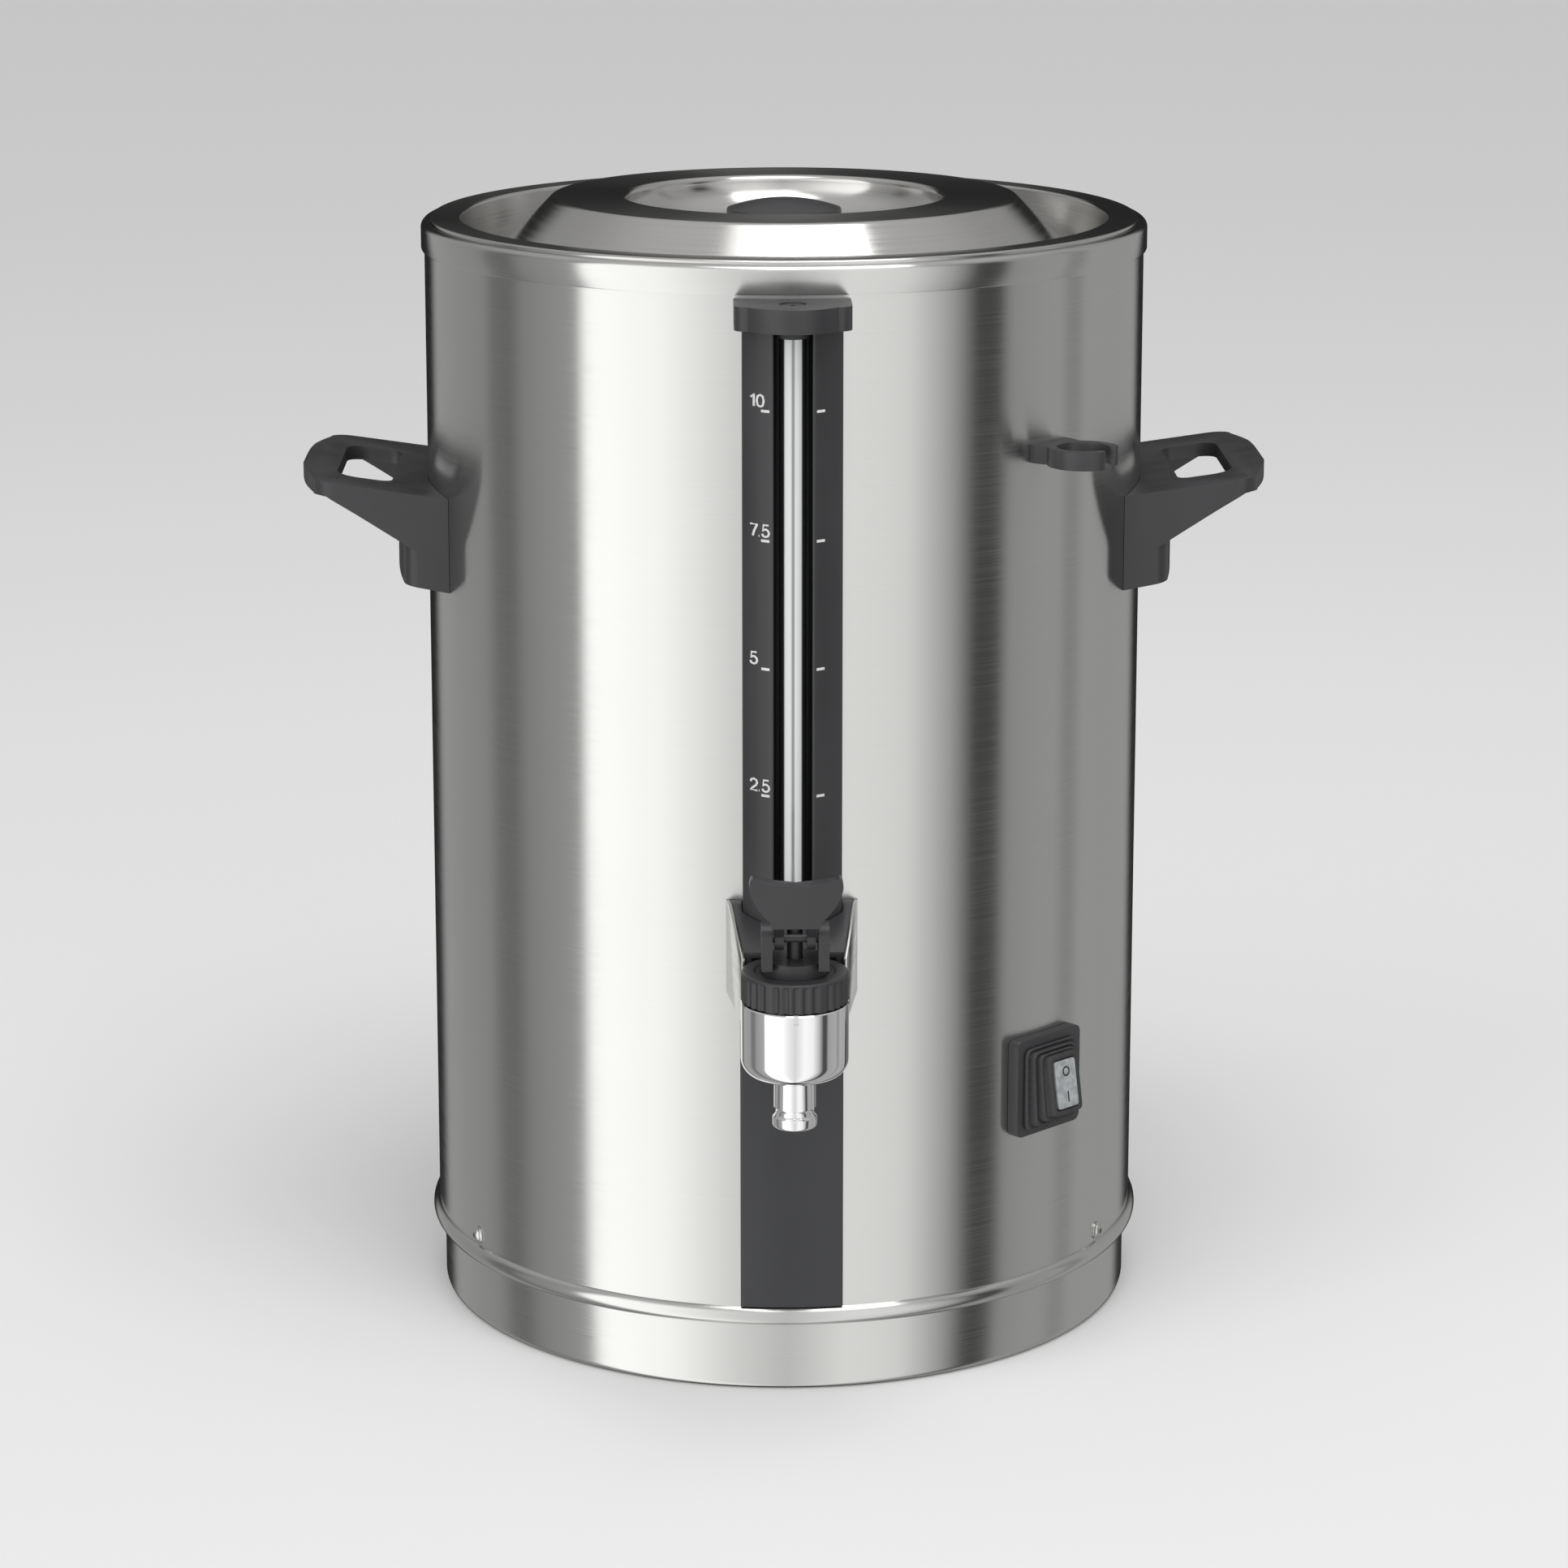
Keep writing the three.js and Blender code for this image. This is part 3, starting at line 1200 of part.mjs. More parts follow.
function sideClip() {
  const centre = JACKET_RADIUS + CLIP_OUT;
  const outer = CLIP_BORE + CLIP_WALL;
  const from = 90 - CLIP_MOUTH_TURN + CLIP_MOUTH / 2;
  const to = from + 360 - CLIP_MOUTH;
  const ring = planPrism(
    [...arc(0, centre, outer, from, to, 24), ...arc(0, centre, CLIP_BORE, to, from, 24)],
    CLIP_TOP - CLIP_THICKNESS,
    CLIP_TOP,
  );
  const base = planPrism(
    mirrored(
      fromDrum([
        [CLIP_BASE_HALF, -4],
        [CLIP_BASE_HALF, 2.5],
        [CLIP_BASE_HALF - 1.5, CLIP_OUT - CLIP_BORE + 1],
      ]),
    ),
    CLIP_TOP - CLIP_THICKNESS,
    CLIP_TOP,
  );
  const bore = planPrism(circle(CLIP_BORE, 24, 0, centre), CLIP_TOP - CLIP_THICKNESS - 1, CLIP_TOP + 1);
  const hole = solid(rod(boreOf(CLIP_SCREW_RADIUS), JACKET_RADIUS - 4, JACKET_RADIUS + 4.5, clipMiddle));
  return cutFrom(joined(cutFrom(base, bore), ring), drumFace, hole);
}
place("side_clip", sideClip(), blackPlastic(), CLIP_AZIMUTH);
const clipSeat = behindWall(SCREW_HEAD);
const clipScrew = innerScrew(CLIP_SCREW_RADIUS, 3, clipSeat - 2, clipSeat, JACKET_RADIUS + 4, clipMiddle);
place("clip_screw", clipScrew, chrome(), CLIP_AZIMUTH);

// ---- rocker switch under a rubber boot ----

const faceOut = JACKET_RADIUS + SWITCH_FACE_OUT;
const pivotOut = faceOut - SWITCH_FACE_RADIUS * Math.cos(SWITCH_TILT * DEG);
const pivotZ = SWITCH_HEIGHT + 1.15 - SWITCH_FACE_RADIUS * Math.sin(SWITCH_TILT * DEG);
const bezelFront = JACKET_RADIUS + SWITCH_BEZEL_OUT;
const rockerFront = pivotOut + SWITCH_FACE_RADIUS - BOOT_WALL - GAP;
const WINDOW_WIDTH = 10.7;
const WINDOW_HEIGHT = 18.2;
const WINDOW_CORNER = 1.2;
const TRUNNION_RADIUS = 1.5;
const TRUNNION_HALF = 11.5;
const SWITCH_POCKET_WIDTH = 20;
const SWITCH_POCKET_HEIGHT = 26.4;
const tilted = (outline, inner, outer) => facePrism(outline, inner, outer, SWITCH_TILT, [pivotOut, pivotZ]);
const switchRect = (width, height, corner) => roundedRectangle(width / 2, height / 2, corner, 0, pivotZ);

function switchFrame() {
  const bezel = facePrism(
    roundedRectangle(SWITCH_BEZEL_WIDTH / 2, SWITCH_BEZEL_HEIGHT / 2, 3, 0, SWITCH_HEIGHT),
    JACKET_RADIUS - 6,
    bezelFront,
  );
  const bodyBack = JACKET_RADIUS - SWITCH_BODY_DEPTH;
  const body = facePrism(
    rectangle(SWITCH_BODY_WIDTH / 2, SWITCH_BODY_HEIGHT / 2, 0, SWITCH_HEIGHT),
    bodyBack,
    bezelFront - 1,
  );
  const pocket = facePrism(
    switchRect(SWITCH_POCKET_WIDTH, SWITCH_POCKET_HEIGHT, 2),
    JACKET_RADIUS - 14,
    bezelFront + 1,
  );
  const socketHalf = TRUNNION_HALF + 0.5;
  const trunnions = crossRod(TRUNNION_RADIUS + JOINT_PLAY, -socketHalf, socketHalf, -pivotOut, pivotZ);
  return cutFrom(joined(cutFrom(bezel, drumFace), body), pocket, trunnions);
}
place("switch_frame", switchFrame(), blackPlastic(), SWITCH_AZIMUTH);

function switchRocker() {
  const block = tilted(switchRect(13.4, 20.4, 2), pivotOut - 3, rockerFront);
  const keel = tilted(switchRect(8, 10, 2), pivotOut - 6, pivotOut - 2.9);
  return joined(block, keel, crossRod(TRUNNION_RADIUS, -TRUNNION_HALF, TRUNNION_HALF, -pivotOut, pivotZ));
}
place("switch_rocker", switchRocker(), blackPlastic(), SWITCH_AZIMUTH);
const windowOutline = switchRect(WINDOW_WIDTH, WINDOW_HEIGHT, WINDOW_CORNER);
place("switch_window", tilted(windowOutline, rockerFront + GAP, rockerFront + 2), lamp(), SWITCH_AZIMUTH);

// Rubber bellows from the bezel to the rocker's face, in steps, with an opening for the window.
function switchBoot() {
  const front = rockerFront + GAP + BOOT_WALL;
  const steps = [
    { width: 29, height: 33, from: bezelFront + GAP, to: bezelFront + 1.6, tilt: 0 },
    { width: 24.5, height: 29.5, from: bezelFront + 1.2, to: bezelFront + 3.8, tilt: 0.3 },
    { width: 21, height: 27, from: bezelFront + 3.2, to: bezelFront + 6, tilt: 0.6 },
    { width: SWITCH_FACE_WIDTH, height: SWITCH_FACE_HEIGHT, from: bezelFront + 4.8, to: front, tilt: 1 },
  ];
  const block = (shrink, push) =>
    joined(
      ...steps.map(({ width, height, from, to, tilt }, i) =>
        facePrism(
          switchRect(width - shrink, height - shrink, 2.5),
          from - push - (i > 0 ? 1 : 0),
          to - push,
          SWITCH_TILT * tilt,
          [pivotOut, pivotZ],
        ),
      ),
    );
  const openingOutline = switchRect(WINDOW_WIDTH + 2 * GAP, WINDOW_HEIGHT + 2 * GAP, WINDOW_CORNER);
  const opening = tilted(openingOutline, pivotOut, front + 4);
  const bezelPlane = facePrism(rectangle(40, 40, 0, pivotZ), JACKET_RADIUS - 30, bezelFront + GAP);
  return cutFrom(block(0, 0), block(2 * BOOT_WALL, BOOT_WALL), opening, bezelPlane);
}
place("switch_boot", switchBoot(), blackRubber(), SWITCH_AZIMUTH);

// ---- mains inlet at the back ----

function recessOutline(width, height, chamfer) {
  const x = width / 2;
  const z = height / 2;
  return [
    [-x, INLET_HEIGHT - z],
    [x, INLET_HEIGHT - z],
    [x, INLET_HEIGHT + z - chamfer],
    [x - chamfer, INLET_HEIGHT + z],
    [-x + chamfer, INLET_HEIGHT + z],
    [-x, INLET_HEIGHT + z - chamfer],
  ];
}
const inletFront = JACKET_RADIUS + INLET_FLANGE_OUT;
const recessFloor = inletFront - INLET_RECESS_DEPTH;
const inletBack = JACKET_RADIUS - INLET_BODY_DEPTH;
const inletPins = [
  { name: "inlet_pin_live", x: INLET_PIN_PITCH, z: -INLET_PIN_DROP, reach: 14 },
  { name: "inlet_pin_neutral", x: -INLET_PIN_PITCH, z: -INLET_PIN_DROP, reach: 14 },
  { name: "inlet_pin_earth", x: 0, z: INLET_PIN_DROP, reach: 16 },
];
const pinOutline = (pin, grow) => rectangle(1 + grow, 2 + grow, pin.x, INLET_HEIGHT + pin.z);

function inletSocket() {
  const flange = facePrism(
    roundedRectangle(INLET_FLANGE_WIDTH / 2, INLET_FLANGE_HEIGHT / 2, 2, 0, INLET_HEIGHT),
    JACKET_RADIUS - 5,
    inletFront,
  );
  const body = facePrism(
    rectangle(INLET_BODY_WIDTH / 2, INLET_BODY_HEIGHT / 2, 0, INLET_HEIGHT),
    inletBack,
    inletFront - 1,
  );
  const recess = facePrism(
    recessOutline(INLET_RECESS_WIDTH, INLET_RECESS_HEIGHT, INLET_RECESS_CHAMFER),
    recessFloor,
    inletFront + 1,
  );
  const slots = inletPins.map((pin) => facePrism(pinOutline(pin, GAP), inletBack - 1, recessFloor + 1));
  return cutFrom(joined(cutFrom(flange, drumFace), body), recess, ...slots);
}
place("inlet_socket", inletSocket(), blackPlastic(), 180);
for (const pin of inletPins) {
  place(pin.name, facePrism(pinOutline(pin, 0), inletBack - 8, recessFloor + pin.reach), brass(), 180);
}

export default kettle;
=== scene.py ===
# Heated ten-litre drinks container: a brushed steel drum with a lid, a level gauge, a lever tap,
# two handles, an open clip and a booted rocker switch, dressed round its fixed frame.
import math

import bmesh
import bpy
from mathutils import Matrix, Vector


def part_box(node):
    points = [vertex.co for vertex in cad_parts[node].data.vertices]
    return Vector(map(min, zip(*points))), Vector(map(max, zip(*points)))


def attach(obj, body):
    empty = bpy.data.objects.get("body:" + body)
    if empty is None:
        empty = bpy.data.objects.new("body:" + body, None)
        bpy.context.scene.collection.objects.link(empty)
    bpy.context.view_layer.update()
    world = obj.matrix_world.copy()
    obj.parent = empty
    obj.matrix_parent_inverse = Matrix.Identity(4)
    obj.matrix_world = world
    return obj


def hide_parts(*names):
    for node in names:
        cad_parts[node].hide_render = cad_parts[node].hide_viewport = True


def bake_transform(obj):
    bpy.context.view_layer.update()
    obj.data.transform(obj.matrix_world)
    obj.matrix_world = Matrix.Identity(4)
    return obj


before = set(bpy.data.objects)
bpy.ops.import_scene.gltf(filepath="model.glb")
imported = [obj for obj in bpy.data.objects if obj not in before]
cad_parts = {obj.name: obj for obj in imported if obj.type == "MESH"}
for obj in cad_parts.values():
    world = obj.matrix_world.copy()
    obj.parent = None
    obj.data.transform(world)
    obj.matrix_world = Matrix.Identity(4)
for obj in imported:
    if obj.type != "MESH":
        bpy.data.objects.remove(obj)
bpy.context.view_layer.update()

# ---- camera ----
# A long lens from a little above the rim, turned a degree to the left of the tap.
camera_distance = 1.7747
camera_height = 0.6638
camera_turn = math.radians(-1.2)
camera_tilt = math.radians(12.08)
lens = bpy.data.cameras.new("camera")
lens.lens = 103.14
lens.sensor_width = 36
lens.shift_y = -0.12
lens.clip_end = 50
camera = bpy.data.objects.new("camera", lens)
bpy.context.collection.objects.link(camera)
camera.location = (
    camera_distance * math.sin(camera_turn),
    -camera_distance * math.cos(camera_turn),
    camera_height,
)
camera.rotation_euler = (math.pi / 2 - camera_tilt, 0, camera_turn)
bpy.context.scene.camera = camera

# ---- studio ----
# A pale floor, and a round studio whose walls carry broad soft panels. The bands that a brushed
# drum shows are these panels, so each is given by its bearing from the tap, in degrees, and its
# brightness there.
floor_mesh = bpy.data.meshes.new("floor")
floor_size = 30
floor_mesh.from_pydata(
    [(x * floor_size, y * floor_size, 0) for x, y in ((-1, -1), (1, -1), (1, 1), (-1, 1))],
    [],
    [(0, 1, 2, 3)],
)
floor = bpy.data.objects.new("floor", floor_mesh)
bpy.context.collection.objects.link(floor)
floor_paint = bpy.data.materials.new("floor_paint")
floor_paint.use_nodes = True
floor_shader = floor_paint.node_tree.nodes["Principled BSDF"]
floor_shader.inputs["Base Color"].default_value = (0.9, 0.9, 0.9, 1)
floor_shader.inputs["Roughness"].default_value = 0.9
floor_shader.inputs["Specular IOR Level"].default_value = 0.1
floor_mesh.materials.append(floor_paint)
floor.visible_glossy = False

panels = [
    (-180, 0.02),
    (-156, 0.02),
    (-148, 0.42),
    (-112, 0.36),
    (-106, 0.22),
    (-98, 0.20),
    (-92, 0.34),
    (-70, 0.46),
    (-66, 1.75),
    (-40, 1.55),
    (-18, 1.05),
    (0, 0.80),
    (20, 1.15),
    (38, 1.05),
    (54, 0.50),
    (62, 0.08),
    (70, 0.08),
    (75, 0.40),
    (97, 0.46),
    (101, 0.34),
    (106, 0.34),
    (110, 0.46),
    (148, 0.40),
    (156, 0.02),
]
upper_wall_light = 0.42
upper_wall_from, upper_wall_to = 0.3, 0.55
ceiling_light = 0.62
ceiling_from, ceiling_to = 0.55, 0.9
backdrop_light = 0.95


def studio():
    world = bpy.data.worlds.new("studio")
    bpy.context.scene.world = world
    world.use_nodes = True
    tree = world.node_tree
    tree.nodes.clear()

    def maths(operation, first, second=None):
        made = tree.nodes.new("ShaderNodeMath")
        made.operation = operation
        for place, value in enumerate((first, second)):
            if isinstance(value, (int, float)):
                made.inputs[place].default_value = value
            elif value is not None:
                tree.links.new(value, made.inputs[place])
        return made.outputs[0]

    def rising(value, start, end, top=1.0):
        made = tree.nodes.new("ShaderNodeMapRange")
        made.interpolation_type = "SMOOTHSTEP"
        tree.links.new(value, made.inputs["Value"])
        made.inputs["From Min"].default_value = start
        made.inputs["From Max"].default_value = end
        made.inputs["To Max"].default_value = top
        return made.outputs[0]

    where = tree.nodes.new("ShaderNodeTexCoord")
    split = tree.nodes.new("ShaderNodeSeparateXYZ")
    tree.links.new(where.outputs["Generated"], split.inputs[0])
    east, north, height = split.outputs
    bearing = maths("ARCTAN2", east, maths("MULTIPLY", north, -1.0))
    share = maths("ADD", maths("DIVIDE", bearing, 2 * math.pi), 0.5)
    ramp = tree.nodes.new("ShaderNodeValToRGB")
    tree.links.new(share, ramp.inputs[0])
    brightest = max(value for _, value in panels)
    stops = ramp.color_ramp.elements
    for i, (degrees, value) in enumerate(panels):
        position = degrees / 360 + 0.5
        if i in (0, len(panels) - 1):
            stop = stops[0 if i == 0 else len(stops) - 1]
            stop.position = position
        else:
            stop = stops.new(position)
        stop.color = (value / brightest,) * 3 + (1,)
    banded = maths("MULTIPLY", ramp.outputs[0], brightest)
    walls = maths("MAXIMUM", banded, rising(height, upper_wall_from, upper_wall_to, upper_wall_light))
    overhead = rising(height, ceiling_from, ceiling_to)
    lit_ceiling = maths("MULTIPLY", overhead, ceiling_light)
    lit_walls = maths("MULTIPLY", walls, maths("SUBTRACT", 1.0, overhead))
    light = tree.nodes.new("ShaderNodeBackground")
    tree.links.new(maths("ADD", lit_walls, lit_ceiling), light.inputs["Color"])
    plain = tree.nodes.new("ShaderNodeBackground")
    plain.inputs["Color"].default_value = (backdrop_light,) * 3 + (1,)
    ray = tree.nodes.new("ShaderNodeLightPath")
    choose = tree.nodes.new("ShaderNodeMixShader")
    tree.links.new(ray.outputs["Is Camera Ray"], choose.inputs[0])
    tree.links.new(light.outputs[0], choose.inputs[1])
    tree.links.new(plain.outputs[0], choose.inputs[2])
    output = tree.nodes.new("ShaderNodeOutputWorld")
    tree.links.new(choose.outputs[0], output.inputs[0])


studio()
bpy.context.scene.view_settings.view_transform = "Standard"


def soft_panel(name, bearing, height, distance, width, tall, watts):
    lamp = bpy.data.lights.new(name, "AREA")
    lamp.shape = "RECTANGLE"
    lamp.size = width
    lamp.size_y = tall
    lamp.energy = watts
    panel = bpy.data.objects.new(name, lamp)
    bpy.context.collection.objects.link(panel)
    turn = math.radians(bearing)
    panel.location = (distance * math.sin(turn), -distance * math.cos(turn), height)
    aim = Vector((0, 0, 0.25)) - panel.location
    panel.rotation_euler = aim.to_track_quat("-Z", "Y").to_euler()


soft_panel("overhead_panel", 20, 2.6, 0.8, 1.6, 1.6, 26)

# ---- base tray ----
# A shallow spun tray of stainless steel that carries the drum. Its wall stands up inside the
# jacket, and its flat underside is what the container rests on.
STEPS_ROUND = 192


def millimetres(node):
    low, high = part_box(node)
    return Vector(low) * 1000, Vector(high) * 1000


def arc(cx, cy, radius, start, end, steps=8):
    turns = [math.radians(start + (end - start) * i / steps) for i in range(steps + 1)]
    return [(cx + radius * math.cos(a), cy + radius * math.sin(a)) for a in turns]


def object_of(name, points, faces):
    """A mesh object from points in millimetres, with its faces turned outwards."""
    mesh = bpy.data.meshes.new(name)
    mesh.from_pydata([tuple(c / 1000 for c in p) for p in points], [], faces)
    shape = bmesh.new()
    shape.from_mesh(mesh)
    bmesh.ops.remove_doubles(shape, verts=shape.verts, dist=1e-7)
    bmesh.ops.recalc_face_normals(shape, faces=shape.faces)
    shape.to_mesh(mesh)
    shape.free()
    made = bpy.data.objects.new(name, mesh)
    bpy.context.collection.objects.link(made)
    return made


def spun(name, outline, centre_out=0.0, steps=STEPS_ROUND, swell=None):
    """Turned from a (radius, height) outline that closes on itself or ends on the axis.
    swell(angle, radius, height) may change the radius, for ribs and grooves."""
    closed = outline[0][0] > 0 or outline[-1][0] > 0
    points, faces = [], []
    for s in range(steps):
        a = 2 * math.pi * s / steps
        for radius, height in outline:
            r = swell(a, radius, height) if swell else radius
            points.append((r * math.sin(a), -centre_out - r * math.cos(a), height))
    count = len(outline)
    for s in range(steps):
        for i in range(count if closed else count - 1):
            j = (i + 1) % count
            here, there = s * count, ((s + 1) % steps) * count
            face = (here + i, here + j, there + j, there + i)
            if outline[i][0] == 0:
                face = (here + i, here + j, there + j)
            elif outline[j][0] == 0:
                face = (here + i, here + j, there + i)
            faces.append(face)
    return object_of(name, points, faces)


def smooth(piece, degrees=32):
    limit = math.radians(degrees)
    shape = bmesh.new()
    shape.from_mesh(piece.data)
    for face in shape.faces:
        face.smooth = True
    for edge in shape.edges:
        edge.smooth = len(edge.link_faces) == 2 and edge.calc_face_angle(0) < limit
    shape.to_mesh(piece.data)
    shape.free()


def settle(piece):
    """Makes the modifiers' result the piece's own mesh."""
    bpy.context.view_layer.update()
    graph = bpy.context.evaluated_depsgraph_get()
    mesh = bpy.data.meshes.new_from_object(piece.evaluated_get(graph))
    piece.modifiers.clear()
    piece.data = mesh


def fit(piece, material, slot, body, *nodes, azimuth=0, edge=0.0, rounds=2):
    """Turns a piece to its bearing, breaks its edges, and fixes it to its body."""
    piece.data.transform(Matrix.Rotation(math.radians(azimuth), 4, "Z"))
    if edge:
        bevel = piece.modifiers.new("edges", "BEVEL")
        bevel.width = edge / 1000
        bevel.segments = rounds
        bevel.limit_method = "ANGLE"
        bevel.angle_limit = math.radians(32)
        bevel.use_clamp_overlap = True
        settle(piece)
    smooth(piece)
    piece.data.materials.clear()
    piece.data.materials.append(material)
    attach(piece, body)
    if nodes:
        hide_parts(*nodes)
    return piece


class Finish:
    """A material under construction: one shader, with its nodes added by name."""

    def __init__(self, name, colour, metallic, roughness):
        self.material = bpy.data.materials.new(name)
        self.material.use_nodes = True
        self.tree = self.material.node_tree
        self.shader = self.tree.nodes["Principled BSDF"]
        self.set("Base Color", (*colour, 1))
        self.set("Metallic", metallic)
        self.set("Roughness", roughness)

    def set(self, socket, value):
        self.shader.inputs[socket].default_value = value

    def node(self, kind, **inputs):
        made = self.tree.nodes.new(kind)
        for socket, value in inputs.items():
            socket = socket.replace("_", " ")
            if isinstance(value, bpy.types.NodeSocket):
                self.tree.links.new(value, made.inputs[socket])
            else:
                made.inputs[socket].default_value = value
        return made

    def noise(self, stretch, scale, detail=2.0, rough=0.5):
        where = self.node("ShaderNodeTexCoord")
        mapped = self.node("ShaderNodeMapping", Vector=where.outputs["Object"], Scale=stretch)
        made = self.node("ShaderNodeTexNoise", Vector=mapped.outputs[0], Scale=scale, Detail=detail)
        made.inputs["Roughness"].default_value = rough
        return made.outputs["Fac"]

    def spread(self, value, low, high, start=0.3, end=0.7):
        made = self.node("ShaderNodeMapRange", Value=value)
        sockets = ("From Min", "From Max", "To Min", "To Max")
        for socket, number in zip(sockets, (start, end, low, high)):
            made.inputs[socket].default_value = number
        return made.outputs[0]

    def blend(self, value, first, second):
        made = self.node("ShaderNodeMix")
        made.data_type = "RGBA"
        self.tree.links.new(value, made.inputs[0])
        made.inputs[6].default_value = (*first, 1)
        made.inputs[7].default_value = (*second, 1)
        return made.outputs[2]

    def link(self, value, socket):
        self.tree.links.new(value, self.shader.inputs[socket])

    def bump(self, value, depth, strength=1.0):
        made = self.node("ShaderNodeBump", Height=value, Distance=depth / 1000, Strength=strength)
        self.link(made.outputs[0], "Normal")


def brushed_steel(name, colour, dark, roughness, lines=1.0, anisotropy=0.85):
    """Stainless sheet brushed round the axis: fine level scratches that smear light up and down."""
    made = Finish(name, colour, 1.0, roughness)
    fine = made.noise((4, 4, 2600 * lines), 1.0, 3.0, 0.6)
    broad = made.noise((6, 6, 900 * lines), 1.0, 2.0)
    patch = made.noise((1, 1, 1), 14.0, 3.0)
    made.link(made.blend(made.spread(fine, 0, 1), dark, colour), "Base Color")
    rough = made.node("ShaderNodeMath")
    rough.operation = "ADD"
    made.tree.links.new(made.spread(fine, roughness - 0.04, roughness + 0.04), rough.inputs[0])
    made.tree.links.new(made.spread(patch, -0.02, 0.025), rough.inputs[1])
    made.link(rough.outputs[0], "Roughness")
    made.set("Anisotropic", anisotropy)
    made.set("Anisotropic Rotation", 0.25)
    tangent = made.node("ShaderNodeTangent")
    tangent.direction_type = "RADIAL"
    tangent.axis = "Z"
    made.link(tangent.outputs[0], "Tangent")
    height = made.node("ShaderNodeMath")
    height.operation = "ADD"
    made.tree.links.new(fine, height.inputs[0])
    made.tree.links.new(broad, height.inputs[1])
    made.bump(height.outputs[0], 0.002, 0.14)
    return made.material


steel = brushed_steel("brushed_steel", (0.60, 0.60, 0.585), (0.58, 0.58, 0.565), 0.19, anisotropy=0.9)
tray_high = millimetres("base_tray")[1]
tray_radius = tray_high.x
tray_wall = 1.0
tray_corner = 3.0
tray = spun("base_tray_shell", [
    (0, 0),
    *arc(tray_radius - tray_corner, tray_corner, tray_corner, -90, 0),
    (tray_radius, tray_high.z),
    (tray_radius - tray_wall, tray_high.z),
    *arc(tray_radius - tray_corner, tray_corner, tray_corner - tray_wall, 0, -90),
    (0, tray_wall),
])
fit(tray, steel, "brushed_steel", "root", "base_tray")

# ---- outer jacket ----
# Rolled stainless sheet, welded up the back and brushed level. Its lower edge is rolled out to a
# half-round bead that hides the joint with the tray.
jacket_low, jacket_high = millimetres("outer_jacket")
bead_radius = jacket_high.x
bead_height = 7.2
bead_proud = 2.5
drum_radius = bead_radius - bead_proud
jacket_wall = 0.8
bead_round = ((bead_height / 2) ** 2 + bead_proud**2) / (2 * bead_proud)
bead_swing = math.degrees(math.asin(bead_height / 2 / bead_round))
bead_middle = jacket_low.z + bead_height / 2
jacket = spun("jacket_shell", [
    *arc(bead_radius - bead_round, bead_middle, bead_round, -bead_swing, bead_swing, 16),
    (drum_radius, bead_middle + bead_height / 2 + 0.6),
    (drum_radius, jacket_high.z),
    (drum_radius - jacket_wall, jacket_high.z),
    (drum_radius - jacket_wall, bead_middle + bead_height / 2),
    *arc(bead_radius - bead_round, bead_middle, bead_round - jacket_wall, bead_swing, -bead_swing, 16),
], steps=256)
fit(jacket, steel, "brushed_steel", "root", "outer_jacket")

# The back seam: a narrow ground weld down the jacket, a hair proud of it.
seam_proud = 0.12
seam_top = 425
seam = spun("jacket_seam", [
    (drum_radius - 0.2, bead_middle + 6),
    (drum_radius + seam_proud, bead_middle + 6.4),
    (drum_radius + seam_proud, seam_top),
    (drum_radius - 0.2, seam_top + 0.4),
], steps=720)


def keep_between(piece, first, last):
    """Keeps the part of a spun piece between two bearings, in degrees, and closes its ends."""
    shape = bmesh.new()
    shape.from_mesh(piece.data)

    def bearing(point):
        return math.degrees(math.atan2(point.x, -point.y)) % 360

    lost = [f for f in shape.faces if not first <= bearing(f.calc_center_median()) <= last]
    bmesh.ops.delete(shape, geom=lost, context="FACES")
    open_edges = [e for e in shape.edges if e.is_boundary]
    bmesh.ops.holes_fill(shape, edges=open_edges, sides=0)
    bmesh.ops.recalc_face_normals(shape, faces=shape.faces)
    shape.to_mesh(piece.data)
    shape.free()


keep_between(seam, 179.4, 180.6)
fit(seam, steel, "brushed_steel", "root")

# ---- base screws ----
# Plated pan-head screws with a six-lobed socket, which hold the jacket to the tray.


def union(piece, other):
    return combine(piece, other, "UNION")


def cut(piece, *tools):
    for tool in tools:
        combine(piece, tool, "DIFFERENCE")
    return piece


def combine(piece, other, how):
    step = piece.modifiers.new(how, "BOOLEAN")
    step.operation = how
    step.solver = "EXACT"
    step.object = other
    settle(piece)
    bpy.data.objects.remove(other)
    return piece


def prism(name, outline, start, end, way):
    """Straight piece from a closed outline. Way "up": (x, out) between two heights; "across":
    (out, height) between two x places; "out": (x, height) between two distances from the axis."""
    place = {
        "up": lambda p, d: (p[0], -p[1], d),
        "across": lambda p, d: (d, -p[0], p[1]),
        "out": lambda p, d: (p[0], -d, p[1]),
    }[way]
    count = len(outline)
    points = [place(p, start) for p in outline] + [place(p, end) for p in outline]
    faces = [tuple(range(count)), tuple(range(count, 2 * count))]
    faces += [(i, (i + 1) % count, count + (i + 1) % count, count + i) for i in range(count)]
    return object_of(name, points, faces)


def outward(name, profile, height, steps=48):
    """Turned about a line that runs out from the drum: profile as (radius, distance out)."""
    piece = spun(name, profile, steps=steps)
    piece.data.transform(Matrix.Rotation(math.pi / 2, 4, "X"))
    piece.data.transform(Matrix.Translation((0, 0, height / 1000)))
    return piece


def star(points, outer, inner, cx=0.0, cy=0.0):
    turns = [math.pi * i / points for i in range(2 * points)]
    radii = [outer if i % 2 == 0 else inner for i in range(2 * points)]
    return [(cx + r * math.cos(a), cy + r * math.sin(a)) for a, r in zip(turns, radii)]


